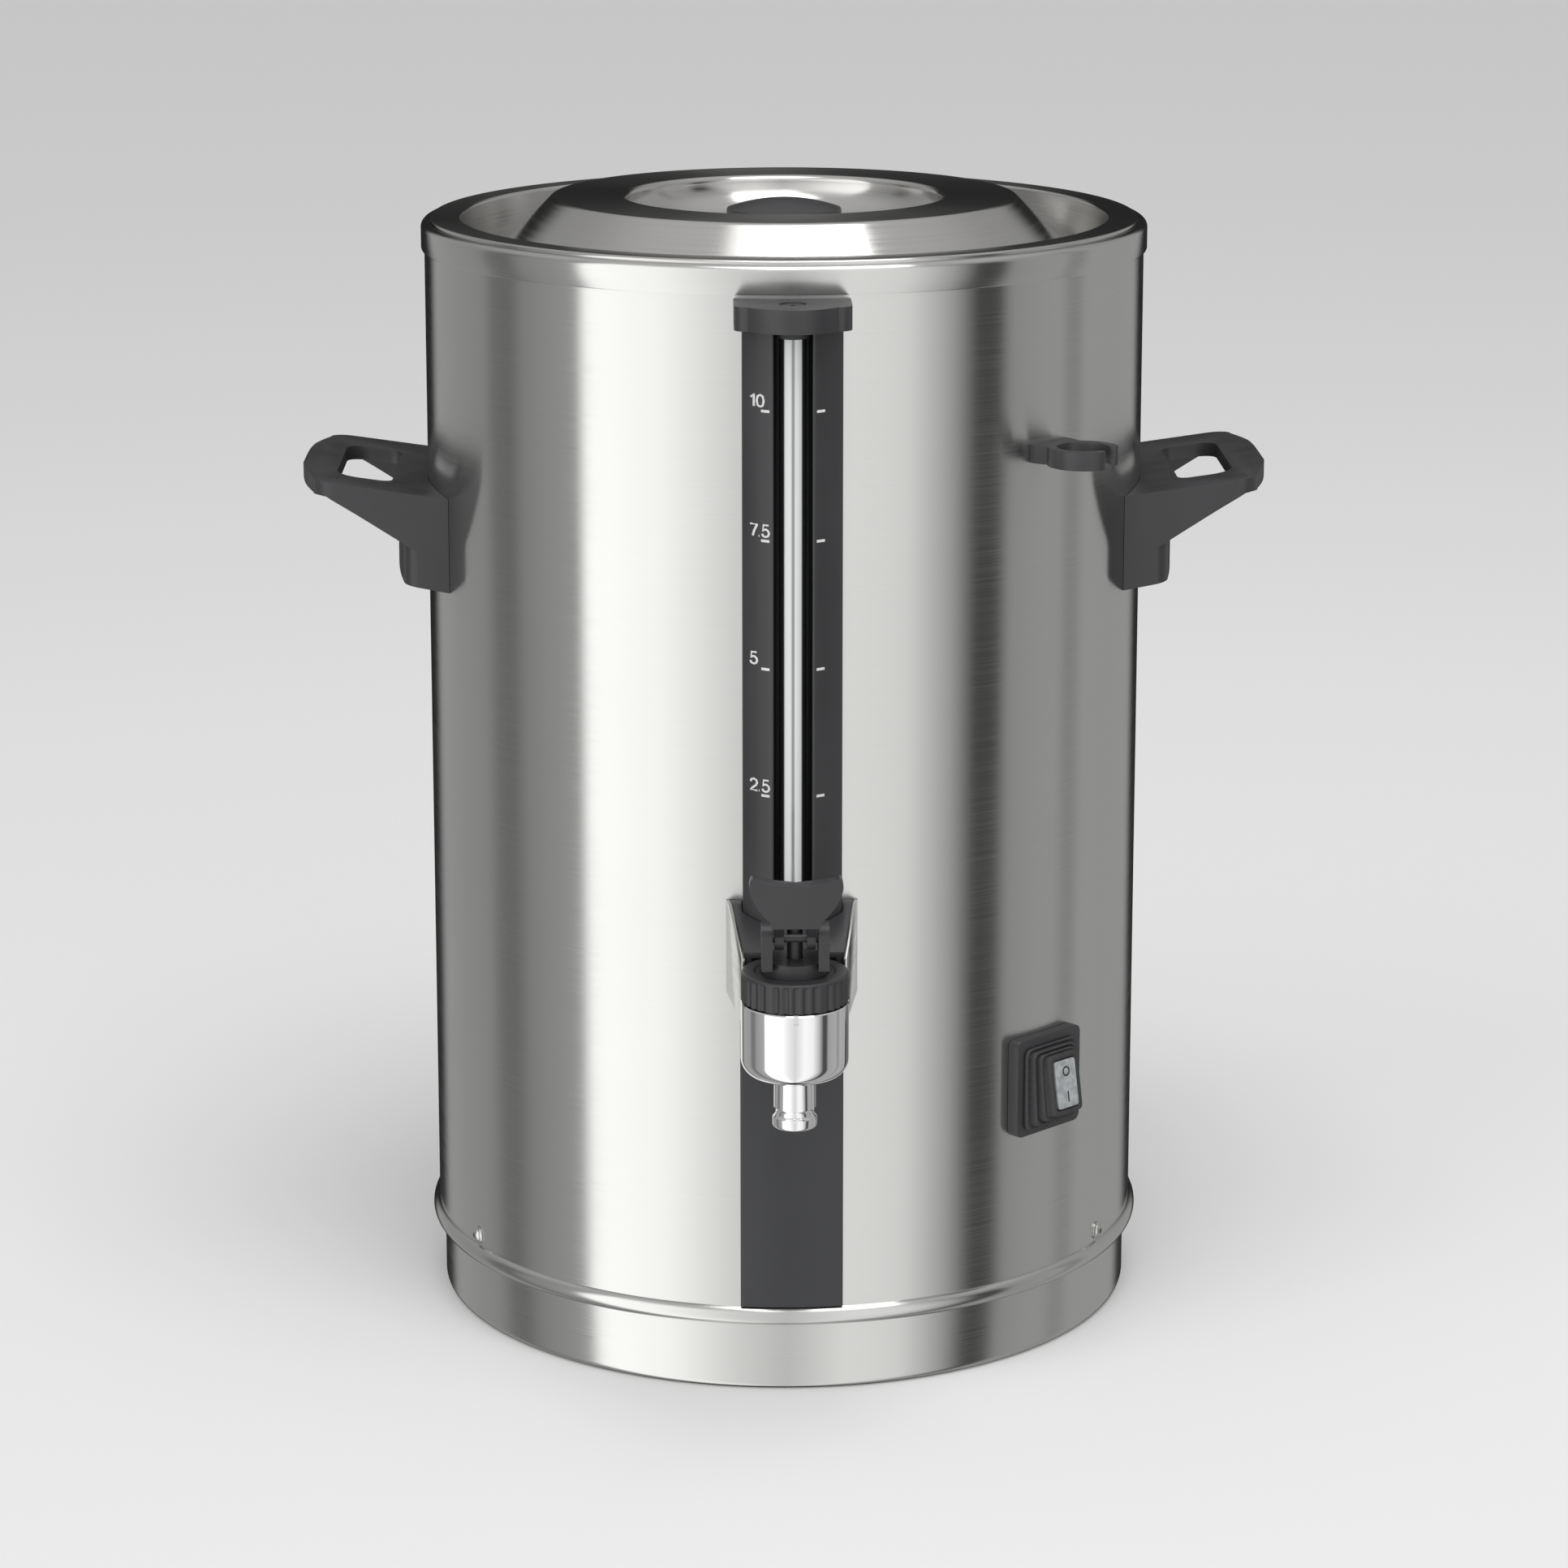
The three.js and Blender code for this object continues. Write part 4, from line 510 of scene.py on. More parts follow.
def plated(name, colour=(0.62, 0.62, 0.6), roughness=0.28):
    made = Finish(name, colour, 1.0, roughness)
    speck = made.noise((1, 1, 1), 900.0, 4.0, 0.6)
    made.link(made.spread(speck, roughness - 0.06, roughness + 0.12), "Roughness")
    made.bump(speck, 0.01, 0.3)
    return made.material


screw_plate = plated("screw_plate")
screw_spread = 60
screw_height = 39
head_radius = 3.4
for number, azimuth in enumerate((-screw_spread, screw_spread, 180), start=1):
    seat = drum_radius + 0.05
    screw = outward(f"base_screw_head_{number}", [
        (0, seat - 8),
        (1.9, seat - 8),
        (1.9, seat),
        (head_radius, seat),
        (head_radius, seat + 0.5),
        (head_radius - 0.5, seat + 0.9),
        (head_radius - 0.9, seat + 1.0),
        *arc(0, seat - 1.2, 3.4, 38, 90, 8)[1:-1],
        (0, seat + 2.2),
    ], screw_height)
    socket = prism("socket", star(6, 1.35, 0.9, 0, screw_height), seat + 0.9, seat + 4, "out")
    cut(screw, socket)
    fit(screw, screw_plate, "screw_steel", "root", f"base_screw_{number}", azimuth=azimuth)

# ---- rim collar ----
# A spun ring that closes the gap between jacket and vessel. Its skirt hugs the jacket, its top
# edge is rounded, and its inner ledge carries the lid.
collar_low, collar_high = millimetres("rim_collar")
collar_radius = collar_high.x
collar_wall = 1.0
collar_round = 2.6
lid_high = millimetres("lid_shell")[1]
lid_radius = lid_high.x
ledge = collar_high.z - 1.2
vessel_low, vessel_high = millimetres("inner_vessel")
vessel_radius = 128.4
collar = spun("rim_collar_shell", [
    (collar_radius - collar_wall, collar_low.z),
    (collar_radius - 0.15, collar_low.z),
    (collar_radius, collar_low.z + 0.4),
    *arc(collar_radius - collar_round, collar_high.z - collar_round, collar_round, 0, 90, 10),
    *arc(lid_radius + 0.9, collar_high.z - 0.4, 0.4, 90, 180, 4),
    (lid_radius + 0.5, ledge),
    (vessel_radius + 1.3, ledge),
    (vessel_radius + 1.3, ledge - collar_wall),
    (collar_radius - collar_wall, ledge - collar_wall),
], steps=256)
fit(collar, steel, "brushed_steel", "root", "rim_collar")

# ---- inner vessel ----
# The deep-drawn pot that holds the drink. It hangs from the jacket's top edge by its flange and
# carries a welded stud under its floor for the heater.
vessel_wall = 0.8
vessel_floor = 193.8
vessel_corner = 8.0
stud_radius = 3.0
vessel_steel = brushed_steel("vessel_steel", (0.62, 0.62, 0.6), (0.54, 0.54, 0.52), 0.24, lines=0.6)
vessel = spun("vessel_shell", [
    (0, vessel_low.z),
    (stud_radius, vessel_low.z),
    (stud_radius, vessel_floor - vessel_wall),
    *arc(vessel_radius - vessel_corner, vessel_floor + vessel_corner, vessel_corner + vessel_wall, -90, 0),
    (vessel_radius + vessel_wall, vessel_high.z - vessel_wall),
    (vessel_high.x, vessel_high.z - vessel_wall),
    (vessel_high.x, vessel_high.z),
    *arc(vessel_radius + 1.2, vessel_high.z - 1.2, 1.2, 90, 180, 4),
    *arc(vessel_radius - vessel_corner, vessel_floor + vessel_corner, vessel_corner, 0, -90),
    (0, vessel_floor),
])
outlet_out = 105
drain = spun("drain", [(0, 180), (8.3, 180), (8.3, 200), (0, 200)], centre_out=outlet_out, steps=64)
cut(vessel, drain)
fit(vessel, vessel_steel, "brushed_steel", "root", "inner_vessel")

# ---- lid ----
# One pressed and spun sheet: a flat flange on the collar's ledge, a well that drops into the
# vessel, a 45 degree cone, a flat ring, and a round dish that leaves room for fingers.
lid_sheet = 0.8
lid_flange_top = collar_high.z + 1.5
plateau = lid_high.z
plateau_radius = 91.7
dish_radius = 62.6
dish_depth = 17.0
dish_floor_radius = 36.0
well_radius = 128.0
well_depth = 20.5
well_round = 4.0


def sheet_outline(line, thickness):
    """Closed outline of an even sheet whose face follows the line, its back to the line's right."""
    back = []
    for i, (x, y) in enumerate(line):
        before, after = line[max(i - 1, 0)], line[min(i + 1, len(line) - 1)]
        leave = math.atan2(after[1] - y, after[0] - x) if i < len(line) - 1 else None
        come = math.atan2(y - before[1], x - before[0]) if i > 0 else leave
        leave = come if leave is None else leave
        bend = math.remainder(leave - come, 2 * math.pi)
        normal = come + bend / 2 - math.pi / 2
        reach = thickness / math.cos(bend / 2)
        back.append((x + reach * math.cos(normal), y + reach * math.sin(normal)))
    return list(line) + back[::-1]


def lid_line():
    edge, lip, shoulder, dish_lip = 1.2, 1.5, 3.0, 2.5
    well_z = lid_flange_top - well_depth + well_round
    well_r = plateau_radius + plateau - well_z + well_round * math.sqrt(2)
    step = shoulder * math.tan(math.radians(22.5))
    reach = dish_radius - dish_floor_radius
    bowl = [
        (
            dish_floor_radius + reach * math.cos(math.radians(a)),
            plateau - dish_lip - (dish_depth - dish_lip) * math.sin(math.radians(a)),
        )
        for a in range(6, 91, 6)
    ]
    return [
        (lid_radius, ledge + 0.3),
        *arc(lid_radius - edge, lid_flange_top - edge, edge, 0, 90, 6),
        *arc(well_radius + lip, lid_flange_top - lip, lip, 90, 180, 8),
        *arc(well_r, well_z, well_round, 0, -135, 14),
        *arc(plateau_radius - step, plateau - shoulder, shoulder, 45, 90, 8),
        *arc(dish_radius + dish_lip, plateau - dish_lip, dish_lip, 90, 180, 10),
        *bowl,
        (2.4, plateau - dish_depth),
    ]


lid_steel = brushed_steel(
    "lid_steel",
    (0.59, 0.585, 0.57),
    (0.56, 0.555, 0.54),
    0.21,
    lines=0.5,
    anisotropy=0.75,
)
lid = spun("lid_sheet", sheet_outline(lid_line()[::-1], lid_sheet), steps=256)
fit(lid, lid_steel, "lid_steel", "lid", "lid_shell")

# ---- lid knob ----
# A low mushroom of black moulded plastic on a short stem, held from below by one screw.
knob_low, knob_high = millimetres("lid_knob")
knob_radius = knob_high.x
knob_dome = 4.0
knob_rim = knob_high.z - knob_dome


def moulded(name, colour=(0.040, 0.040, 0.043), roughness=0.40, grain=0.015):
    """A moulded finish, black unless given another colour: fine grain, faint flow marks and
    rubbed patches."""
    made = Finish(name, colour, 0.0, roughness)
    fine = made.noise((1, 1, 1), 2600.0, 3.0, 0.6)
    flow = made.noise((1, 1, 0.4), 60.0, 3.0)
    shaded = tuple(c * 0.82 for c in colour)
    made.link(made.blend(made.spread(flow, 0, 1), shaded, colour), "Base Color")
    rough = made.node("ShaderNodeMath")
    rough.operation = "ADD"
    made.tree.links.new(made.spread(fine, roughness - 0.06, roughness + 0.06), rough.inputs[0])
    made.tree.links.new(made.spread(flow, -0.04, 0.05), rough.inputs[1])
    made.link(rough.outputs[0], "Roughness")
    made.bump(fine, grain, 0.5)
    return made.material


black = moulded("black_plastic")
dome = [
    (knob_radius * s, knob_rim + knob_dome * (1 - s * s))
    for s in (0.985, 0.95, 0.9, 0.8, 0.7, 0.6, 0.5, 0.4, 0.3, 0.2, 0.1, 0)
]
knob = spun("lid_knob_cap", [
    (0, knob_low.z + 6),
    (2.4, knob_low.z + 6),
    (2.4, knob_low.z),
    (9, knob_low.z),
    (9, knob_rim - 5.5),
    *arc(11, knob_rim - 5.8, 2.0, 180, 90, 4),
    *arc(knob_radius - 1.2, knob_rim - 2.6, 1.2, -90, 0, 5),
    (knob_radius, knob_rim - 0.5),
    *dome,
], steps=128)
fit(knob, black, "black_plastic", "lid", "lid_knob")

knob_screw_low, knob_screw_high = millimetres("lid_knob_screw")
head_top = knob_screw_low.z + 2.6
knob_screw = spun("knob_screw_turned", [
    (0, knob_screw_low.z + 1.4),
    (1.5, knob_screw_low.z + 1.2),
    (1.9, knob_screw_low.z + 0.1),
    (3.2, knob_screw_low.z),
    *arc(3.0, knob_screw_low.z + 1.0, 1.0, -60, 0, 4),
    (4.0, head_top),
    (2.0, head_top),
    (2.0, knob_screw_high.z - 0.5),
    (1.6, knob_screw_high.z),
    (0, knob_screw_high.z),
], steps=48)
fit(knob_screw, screw_plate, "screw_steel", "lid", "lid_knob_screw")

# ---- gauge channel ----
# A black extrusion against the drum, arched in section, with a deep groove down its middle for
# the glass. The litre marks are printed on its two sloping shoulders.
channel_low, channel_high = millimetres("sight_channel")
channel_half = channel_high.x
channel_front = -channel_low.y
groove_half = 7.1
groove_floor = drum_radius + 5.5


def on_drum(half, gap=0.3, steps=8):
    """Points along the drum's face from x = -half to x = half, seen from above."""
    reach = drum_radius + gap
    swing = math.degrees(math.asin(half / reach))
    return arc(0, 0, reach, 90 + swing, 90 - swing, steps)


def mirrored(half):
    return list(half) + [(-x, y) for x, y in reversed(half)]


def between(before, start, end, after, t):
    """Catmull-Rom: a place between start and end, bent by the points on either side."""
    squared = 2 * before - 5 * start + 4 * end - after
    cubed = 3 * start - before - 3 * end + after
    return 0.5 * (2 * start + (end - before) * t + squared * t**2 + cubed * t**3)


def curve_through(points, steps=6):
    """Smooth line through points."""
    line = []
    padded = [points[0], *points, points[-1]]
    for a, b, c, d in zip(padded, padded[1:], padded[2:], padded[3:]):
        for i in range(steps):
            line.append(tuple(between(*along, i / steps) for along in zip(a, b, c, d)))
    line.append(points[-1])
    return line


shoulder = curve_through([
    (channel_half - 0.1, channel_front - 8.9),
    (channel_half - 0.7, channel_front - 8.0),
    (16.2, channel_front - 6.1),
    (13.2, channel_front - 3.5),
    (10.2, channel_front - 1.4),
    (8.4, channel_front - 0.3),
    (7.7, channel_front),
    (7.25, channel_front - 0.2),
    (groove_half, channel_front - 0.7),
])
half_section = [
    (channel_half, channel_front - 9.5),
    *shoulder,
    (groove_half, groove_floor + 1.5),
    *arc(groove_half - 1.5, groove_floor + 1.5, 1.5, 0, -90, 4),
]
channel = prism(
    "gauge_channel",
    mirrored(half_section) + on_drum(channel_half),
    channel_low.z,
    channel_high.z,
    "up",
)
fit(channel, black, "black_plastic", "root", "sight_channel")

# ---- litre marks ----
# White printed ticks on both shoulders, every two and a half litres, with a numeral over each
# left tick.
full_mark = 386.8
litre_rise = 19.3
print_thickness = 0.06


def white_print():
    made = Finish("white_print", (0.78, 0.78, 0.76), 0.0, 0.5)
    worn = made.noise((1, 1, 1), 700.0, 3.0)
    made.link(made.blend(made.spread(worn, 0, 1), (0.66, 0.66, 0.65), (0.82, 0.82, 0.8)), "Base Color")
    return made.material


ink = white_print()
tick_middle = 10.2
tick_half = 1.5
tick_rise = 0.5
numeral_over_tick = 1.5


def shoulder_front(x):
    """How far out the channel's shoulder lies at a place across it."""
    place = abs(x)
    for (wide, back), (narrow, front) in zip(shoulder, shoulder[1:]):
        if narrow <= place <= wide:
            return back + (front - back) * (wide - place) / (wide - narrow)
    return channel_front - 9


digit_left = -15.7
digit_height = 4.4
digit_width = 2.5
digit_pen = 0.4
digits = {
    "0": [
        (0.5, 0), (0.86, 0.12), (1, 0.5), (0.86, 0.88), (0.5, 1),
        (0.14, 0.88), (0, 0.5), (0.14, 0.12), (0.5, 0),
    ],
    "1": [(0.1, 0.74), (0.55, 1), (0.56, 0.98), (0.56, 0)],
    "2": [
        (0.02, 0.72), (0.16, 0.93), (0.5, 1), (0.86, 0.9), (0.96, 0.68),
        (0.8, 0.45), (0.3, 0.2), (0, 0), (1, 0),
    ],
    "5": [
        (0.92, 1), (0.2, 1), (0.08, 0.5), (0.3, 0.62), (0.6, 0.64), (0.9, 0.5),
        (1, 0.3), (0.84, 0.08), (0.5, 0), (0.15, 0.06), (0, 0.24),
    ],
    "7": [(0, 1), (1, 1), (0.98, 0.94), (0.6, 0.48), (0.38, 0)],
    ".": [(0, 0.04), (0.1, 0.04)],
}
usual_advance = 1.22
advance = {".": 0.52, "1": 0.98}


def written(label, left, bottom):
    """A number in plain strokes that starts at the given place and lies on the shoulder."""
    line = bpy.data.curves.new("stroke", "CURVE")
    line.dimensions = "3D"
    line.bevel_depth = digit_pen / 1000
    line.bevel_resolution = 2
    line.use_fill_caps = True
    pen = left
    for character in label:
        strokes = digits[character]
        spline = line.splines.new("POLY")
        spline.points.add(len(strokes) - 1)
        for point, (x, z) in zip(spline.points, strokes):
            point.co = ((pen + x * digit_width) / 1000, 0, (bottom + z * digit_height) / 1000, 1)
        pen += advance.get(character, usual_advance) * digit_width
    holder = bpy.data.objects.new("stroke", line)
    bpy.context.collection.objects.link(holder)
    bpy.context.view_layer.update()
    mesh = bpy.data.meshes.new_from_object(holder.evaluated_get(bpy.context.evaluated_depsgraph_get()))
    bpy.data.objects.remove(holder)
    for vertex in mesh.vertices:
        lift = max(-1.0, min(1.0, -vertex.co.y * 1000 / digit_pen)) * print_thickness
        vertex.co.y = -(shoulder_front(vertex.co.x * 1000) + lift) / 1000
    made = bpy.data.objects.new("numeral", mesh)
    bpy.context.collection.objects.link(made)
    return made


for label, litres in (("10", 10), ("7.5", 7.5), ("5", 5), ("2.5", 2.5)):
    height = full_mark - (10 - litres) * litre_rise
    for side, centre in (("left", -tick_middle), ("right", tick_middle)):
        across = [centre - tick_half + tick_half * i / 3 for i in range(7)]
        front = [(x, shoulder_front(x) + print_thickness) for x in across]
        behind = [(x, shoulder_front(x) - 0.05) for x in reversed(across)]
        tick_name = f"tick_{side}_{label.replace('.', '_')}"
        tick = prism(tick_name, front + behind, height - tick_rise, height + tick_rise, "up")
        fit(tick, ink, "lamp_window", "root")
    numeral = written(label, digit_left, height + numeral_over_tick)
    numeral.name = f"numeral_{label.replace('.', '_')}"
    fit(numeral, ink, "lamp_window", "root")

# ---- gauge glass and its seals ----
# A borosilicate tube, gripped by a rubber ring at each end. Light and shade are painted on its
# face: a pale stripe standing in for the lit enamel and its reflections, a fine grey line of
# painted reflection down the middle, and painted shade at the sides.
glass_low, glass_high = millimetres("sight_tube")
glass_radius = (glass_high.x - glass_low.x) / 2
glass_out = -(glass_low.y + glass_high.y) / 2
glass_bore = 3.6


def clear_glass():
    """Painted light and shade on the tube's own surface, front and back alike, coloured by the
    distance from the middle: a pale stripe standing in for the lit enamel and its reflections, a
    fine grey line of painted reflection along the middle, and painted shade at the sides, which
    are dark and half clear."""
    made = Finish("clear_glass", (0.8, 0.82, 0.82), 0.0, 0.05)
    where = made.node("ShaderNodeTexCoord")
    split = made.node("ShaderNodeSeparateXYZ", Vector=where.outputs["Object"])
    aside = made.node("ShaderNodeMath")
    aside.operation = "ABSOLUTE"
    made.tree.links.new(split.outputs[0], aside.inputs[0])
    # Painted light: within 3 mm of the middle a pale stripe stands in for the lit enamel and its
    # reflections; past 3.5 mm the sides take painted shade.
    painted_lit_stripe = made.spread(aside.outputs[0], 1, 0, 0.0030, 0.0035)
    beside_painted_line = made.spread(aside.outputs[0], 0.35, 1, 0.0003, 0.0008)
    painted_brightness = made.node("ShaderNodeMath")
    painted_brightness.operation = "MULTIPLY"
    made.tree.links.new(painted_lit_stripe, painted_brightness.inputs[0])
    made.tree.links.new(beside_painted_line, painted_brightness.inputs[1])
    # Painted shade, near black, at the sides; painted light, pale grey, in the middle, darker along the
    # painted reflection line at the centre.
    made.link(made.blend(painted_brightness.outputs[0], (0.03, 0.032, 0.034), (0.74, 0.75, 0.75)), "Base Color")
    made.link(made.spread(painted_lit_stripe, 0.5, 0.0, 0, 1), "Transmission Weight")
    made.set("IOR", 1.47)
    made.set("Coat Weight", 0.6)
    haze = made.noise((1, 1, 0.05), 800.0, 2.0)
    made.link(made.spread(haze, 0.04, 0.14), "Roughness")
    return made.material


glass = clear_glass()
tube = spun("gauge_glass", [
    (glass_bore, glass_low.z + 0.3),
    (glass_bore + 0.3, glass_low.z),
    (glass_radius - 0.3, glass_low.z),
    (glass_radius, glass_low.z + 0.3),
    (glass_radius, glass_high.z - 0.3),
    (glass_radius - 0.3, glass_high.z),
    (glass_bore + 0.3, glass_high.z),
    (glass_bore, glass_high.z - 0.3),
], centre_out=glass_out, steps=64)
fit(tube, glass, "clear_glass", "root", "sight_tube")


def rubber(name, colour, roughness=0.62):
    made = Finish(name, colour, 0.0, roughness)
    dust = made.noise((1, 1, 1), 500.0, 4.0, 0.65)
    dusty = tuple(min(1, c * 1.5 + 0.006) for c in colour)
    made.link(made.blend(made.spread(dust, 0, 1), colour, dusty), "Base Color")
    made.link(made.spread(dust, roughness - 0.08, roughness + 0.1), "Roughness")
    made.bump(dust, 0.015, 0.4)
    return made.material


black_rubber = rubber("black_rubber", (0.028, 0.028, 0.03))
for name in ("sight_top_seal", "sight_bottom_seal"):
    low, high = millimetres(name)
    outer = (high.x - low.x) / 2
    ring = spun(f"{name}_ring", [
        (glass_radius + 0.15, low.z + 0.5),
        (glass_radius + 0.5, low.z),
        *arc(outer - 0.8, low.z + 0.8, 0.8, -90, 0, 4),
        *arc(outer - 0.8, high.z - 0.8, 0.8, 0, 90, 4),
        (glass_radius + 0.5, high.z),
        (glass_radius + 0.15, high.z - 0.5),
    ], centre_out=glass_out, steps=64)
    fit(ring, black_rubber, "black_rubber", "root", name)

# ---- gauge cap ----
# A moulded block that plugs the channel's top and holds the glass. It has a vent on top.
cap_low, cap_high = millimetres("sight_cap")
cap_half = cap_high.x
cap_front = -cap_low.y
cap_ends = drum_radius + 20.5


def bowed(half, ends, middle, inner, corner, steps=6):
    """Plan outline whose front bows out between rounded corners, and whose back follows the drum
    or, where a distance is given, runs straight."""
    reach = half - corner
    right = arc(reach, ends - corner, corner, 0, 90, steps)
    left = arc(-reach, ends - corner, corner, 90, 180, steps)
    front = [(x, ends + (middle - ends) * (1 - (x / reach) ** 2)) for x in
             (reach - 2 * reach * i / 24 for i in range(1, 24))]
    back = on_drum(half) if inner is None else [(-half, inner), (half, inner)]
    return back + right + front + left


def round_post(name, radius, low, high, out, steps=48):
    return spun(name, [(0, low), (radius, low), (radius, high), (0, high)], centre_out=out, steps=steps)


cap = prism("gauge_cap", bowed(cap_half, cap_ends, cap_front, None, 5), cap_low.z, cap_high.z, "up")
cut(cap, round_post("bore", glass_radius + 0.3, cap_low.z - 1, glass_high.z + 0.3, glass_out))
cut(cap, round_post("recess", 5.0, cap_high.z - 0.5, cap_high.z + 1, glass_out))
cut(cap, round_post("vent", 1.0, cap_low.z, cap_high.z + 1, glass_out))
fit(cap, black, "black_plastic", "root", "sight_cap", edge=0.7, rounds=3)

# ---- tap bracket and gauge socket ----
# A polished sheet bracket whose cheeks close in on the tap, and between them a moulded wedge
# that carries the gauge's foot and leads liquid from the tap's shank up to the glass.
shroud_low, shroud_high = millimetres("tap_shroud")
tap_low, tap_high = millimetres("tap_body")
cup_radius = tap_high.x
tap_out = -tap_low.y - cup_radius
cheek_half = 24.6
cheek_taper = 0.134
cheek_sheet = 1.2
cheek_reach = 38
cheek_front_top = 185.5
shank_height = 163.0
shank_radius = 8.0
nut_low, nut_high = millimetres("ring_nut")


def cheek_edge(out, inset=0.0):
    return cheek_half - inset - cheek_taper * out


def under_slope(name, bottom, half):
    return prism(name, [
        (drum_radius - 6, shroud_high.z),
        (drum_radius + 5, shroud_high.z),
        (drum_radius + cheek_reach, cheek_front_top),
        (drum_radius + cheek_reach, bottom),
        (drum_radius - 6, bottom),
    ], -half, half, "across")


def cup_clearance():
    return round_post("clearance", cup_radius + 0.7, tap_low.z, nut_high.z + 0.5, tap_out, 96)


def drum_tool(gap=0.3):
    return spun("drum", [(0, 0), (drum_radius + gap, 0), (drum_radius + gap, 440), (0, 440)], steps=256)


def cheek(sign):
    return prism("cheek", [
        (sign * cheek_edge(-6), drum_radius - 6),
        (sign * cheek_edge(cheek_reach), drum_radius + cheek_reach),
        (sign * cheek_edge(cheek_reach, cheek_sheet), drum_radius + cheek_reach),
        (sign * cheek_edge(-6, cheek_sheet), drum_radius - 6),
    ], shroud_low.z, shroud_high.z, "up")


polished = Finish("polished_steel", (0.50, 0.50, 0.49), 1.0, 0.16)
polish_lines = polished.noise((3, 3, 400), 1.0, 3.0)
polished.link(polished.spread(polish_lines, 0.1, 0.24), "Roughness")
polished.bump(polish_lines, 0.004, 0.3)

bracket = cheek(1)
union(bracket, cheek(-1))
union(bracket, prism("back", [
    (-cheek_half + 0.6, drum_radius - 6),
    (cheek_half - 0.6, drum_radius - 6),
    (cheek_half - 0.6, drum_radius + 1.5),
    (-cheek_half + 0.6, drum_radius + 1.5),
], shroud_low.z, 191.7, "up"))
combine(bracket, under_slope("slope", shroud_low.z - 1, 30), "INTERSECT")
cut(bracket, drum_tool(0.1), cup_clearance())
cut(bracket, outward("tunnel", [(0, 130), (8.3, 130), (8.3, 190), (0, 190)], shank_height))
fit(bracket, polished.material, "polished_steel", "root", "tap_shroud", edge=0.35)

socket_inset = cheek_sheet + 0.15
socket_bottom = shank_height + shank_radius + 0.5
ledge_height = 192.0
wedge = prism("gauge_socket", [
    (-cheek_edge(-6, socket_inset), drum_radius - 6),
    (cheek_edge(-6, socket_inset), drum_radius - 6),
    (cheek_edge(34, socket_inset), drum_radius + 34),
    (-cheek_edge(34, socket_inset), drum_radius + 34),
], socket_bottom, shroud_high.z, "up")
combine(wedge, under_slope("slope", socket_bottom, 30), "INTERSECT")
around_channel = [
    (channel_half + 0.3, drum_radius - 8),
    (channel_half + 0.3, channel_front - 9.5 + 0.5),
    *[(x + 0.3, out + 0.5) for x, out in shoulder],
]
cut(
    wedge,
    prism("notch", mirrored(around_channel), ledge_height, shroud_high.z + 1, "up"),
    prism("plate_room", [
        (-26, drum_radius - 8),
        (26, drum_radius - 8),
        (26, drum_radius + 1.7),
        (-26, drum_radius + 1.7),
    ], socket_bottom - 1, ledge_height, "up"),
    drum_tool(),
    cup_clearance(),
    round_post("seat", 6.5, 182.5, 200, glass_out),
)
fit(wedge, black, "black_plastic", "root", "sight_socket", edge=0.5)

# ---- tap body ----
# A chromed casting: a round cup with a beaded spout under it and a shank behind.
spout_radius = 7.8
spout_bore = 5.6
cup_bottom = 144.0
cup_top = 172.4
cup_corner = 7.0
chamber = 12.6
neck_radius = 16.5


def chrome():
    made = Finish("tap_chrome", (0.83, 0.83, 0.84), 1.0, 0.06)
    wipe = made.noise((1, 1, 1), 180.0, 3.0)
    made.link(made.spread(wipe, 0.035, 0.1), "Roughness")
    made.bump(wipe, 0.004, 0.15)
    return made.material


plating = chrome()
spout = tap_low.z
body = spun("tap_casting", [
    (spout_bore, spout + 0.4),
    (spout_bore + 0.5, spout),
    *arc(spout_radius - 0.7, spout + 1.2, 1.2, -90, 0, 5),
    *arc(spout_radius - 0.7, spout + 3.4, 1.2, 0, 60, 4),
    (spout_radius - 0.6, spout + 5.2),
    (spout_radius - 0.6, spout + 6.6),
    (spout_radius - 0.3, spout + 7.3),
    (spout_radius, spout + 7.7),
    (spout_radius, cup_bottom - 0.8),
    *arc(spout_radius + 0.8, cup_bottom - 0.8, 0.8, 180, 90, 4)[1:],
    *arc(cup_radius - cup_corner, cup_bottom + cup_corner, cup_corner, -90, 0, 14),
    (cup_radius, cup_top - 0.4),
    (cup_radius - 0.4, cup_top),
    (neck_radius, cup_top),
    (neck_radius, tap_high.z),
    (chamber, tap_high.z),
    (chamber, cup_bottom + 8),
    (spout_bore, cup_bottom + 6),
], centre_out=tap_out, steps=160)
shank_end = -tap_high.y
waterway_radius = 5.2
notch_half = 0.9
notch_depth = 3.4
shank = outward("shank", [
    (0, shank_end),
    (shank_radius - 0.6, shank_end),
    (shank_radius, shank_end + 0.6),
    (shank_radius, tap_out - chamber - 1),
    (0, tap_out - chamber - 1),
], shank_height, steps=64)
union(body, shank)
cut(
    body,
    outward("waterway", [
        (0, shank_end - 1),
        (waterway_radius, shank_end - 1),
        (waterway_radius, tap_out - 8),
        (0, tap_out - 8),
    ], shank_height),
    prism("drip_notch", [
        (-notch_half, cup_top - notch_depth),
        (notch_half, cup_top - notch_depth),
        (notch_half, cup_top + 1),
        (-notch_half, cup_top + 1),
    ], tap_out + cup_radius - 1.2, tap_out + cup_radius + 2, "out"),
)
fit(body, plating, "tap_chrome", "root", "tap_body")

# ---- ring nut ----
# The hand-tight nut that holds the bonnet down, with finger ribs moulded in six groups.
nut_radius = 19.8
groups = 6
ribs = 5
rib_depth = 0.8


def nut_swell(angle, radius, height):
    if radius < nut_radius - 1.5 or height > nut_high.z - 1.4:
        return radius
    share = (angle * groups / (2 * math.pi) + 0.5) % 1.0
    if not 0.05 < share < 0.95:
        return radius
    wave = math.cos((share - 0.05) / 0.9 * 2 * math.pi * ribs)
    return radius - rib_depth * (0.5 - 0.5 * wave)


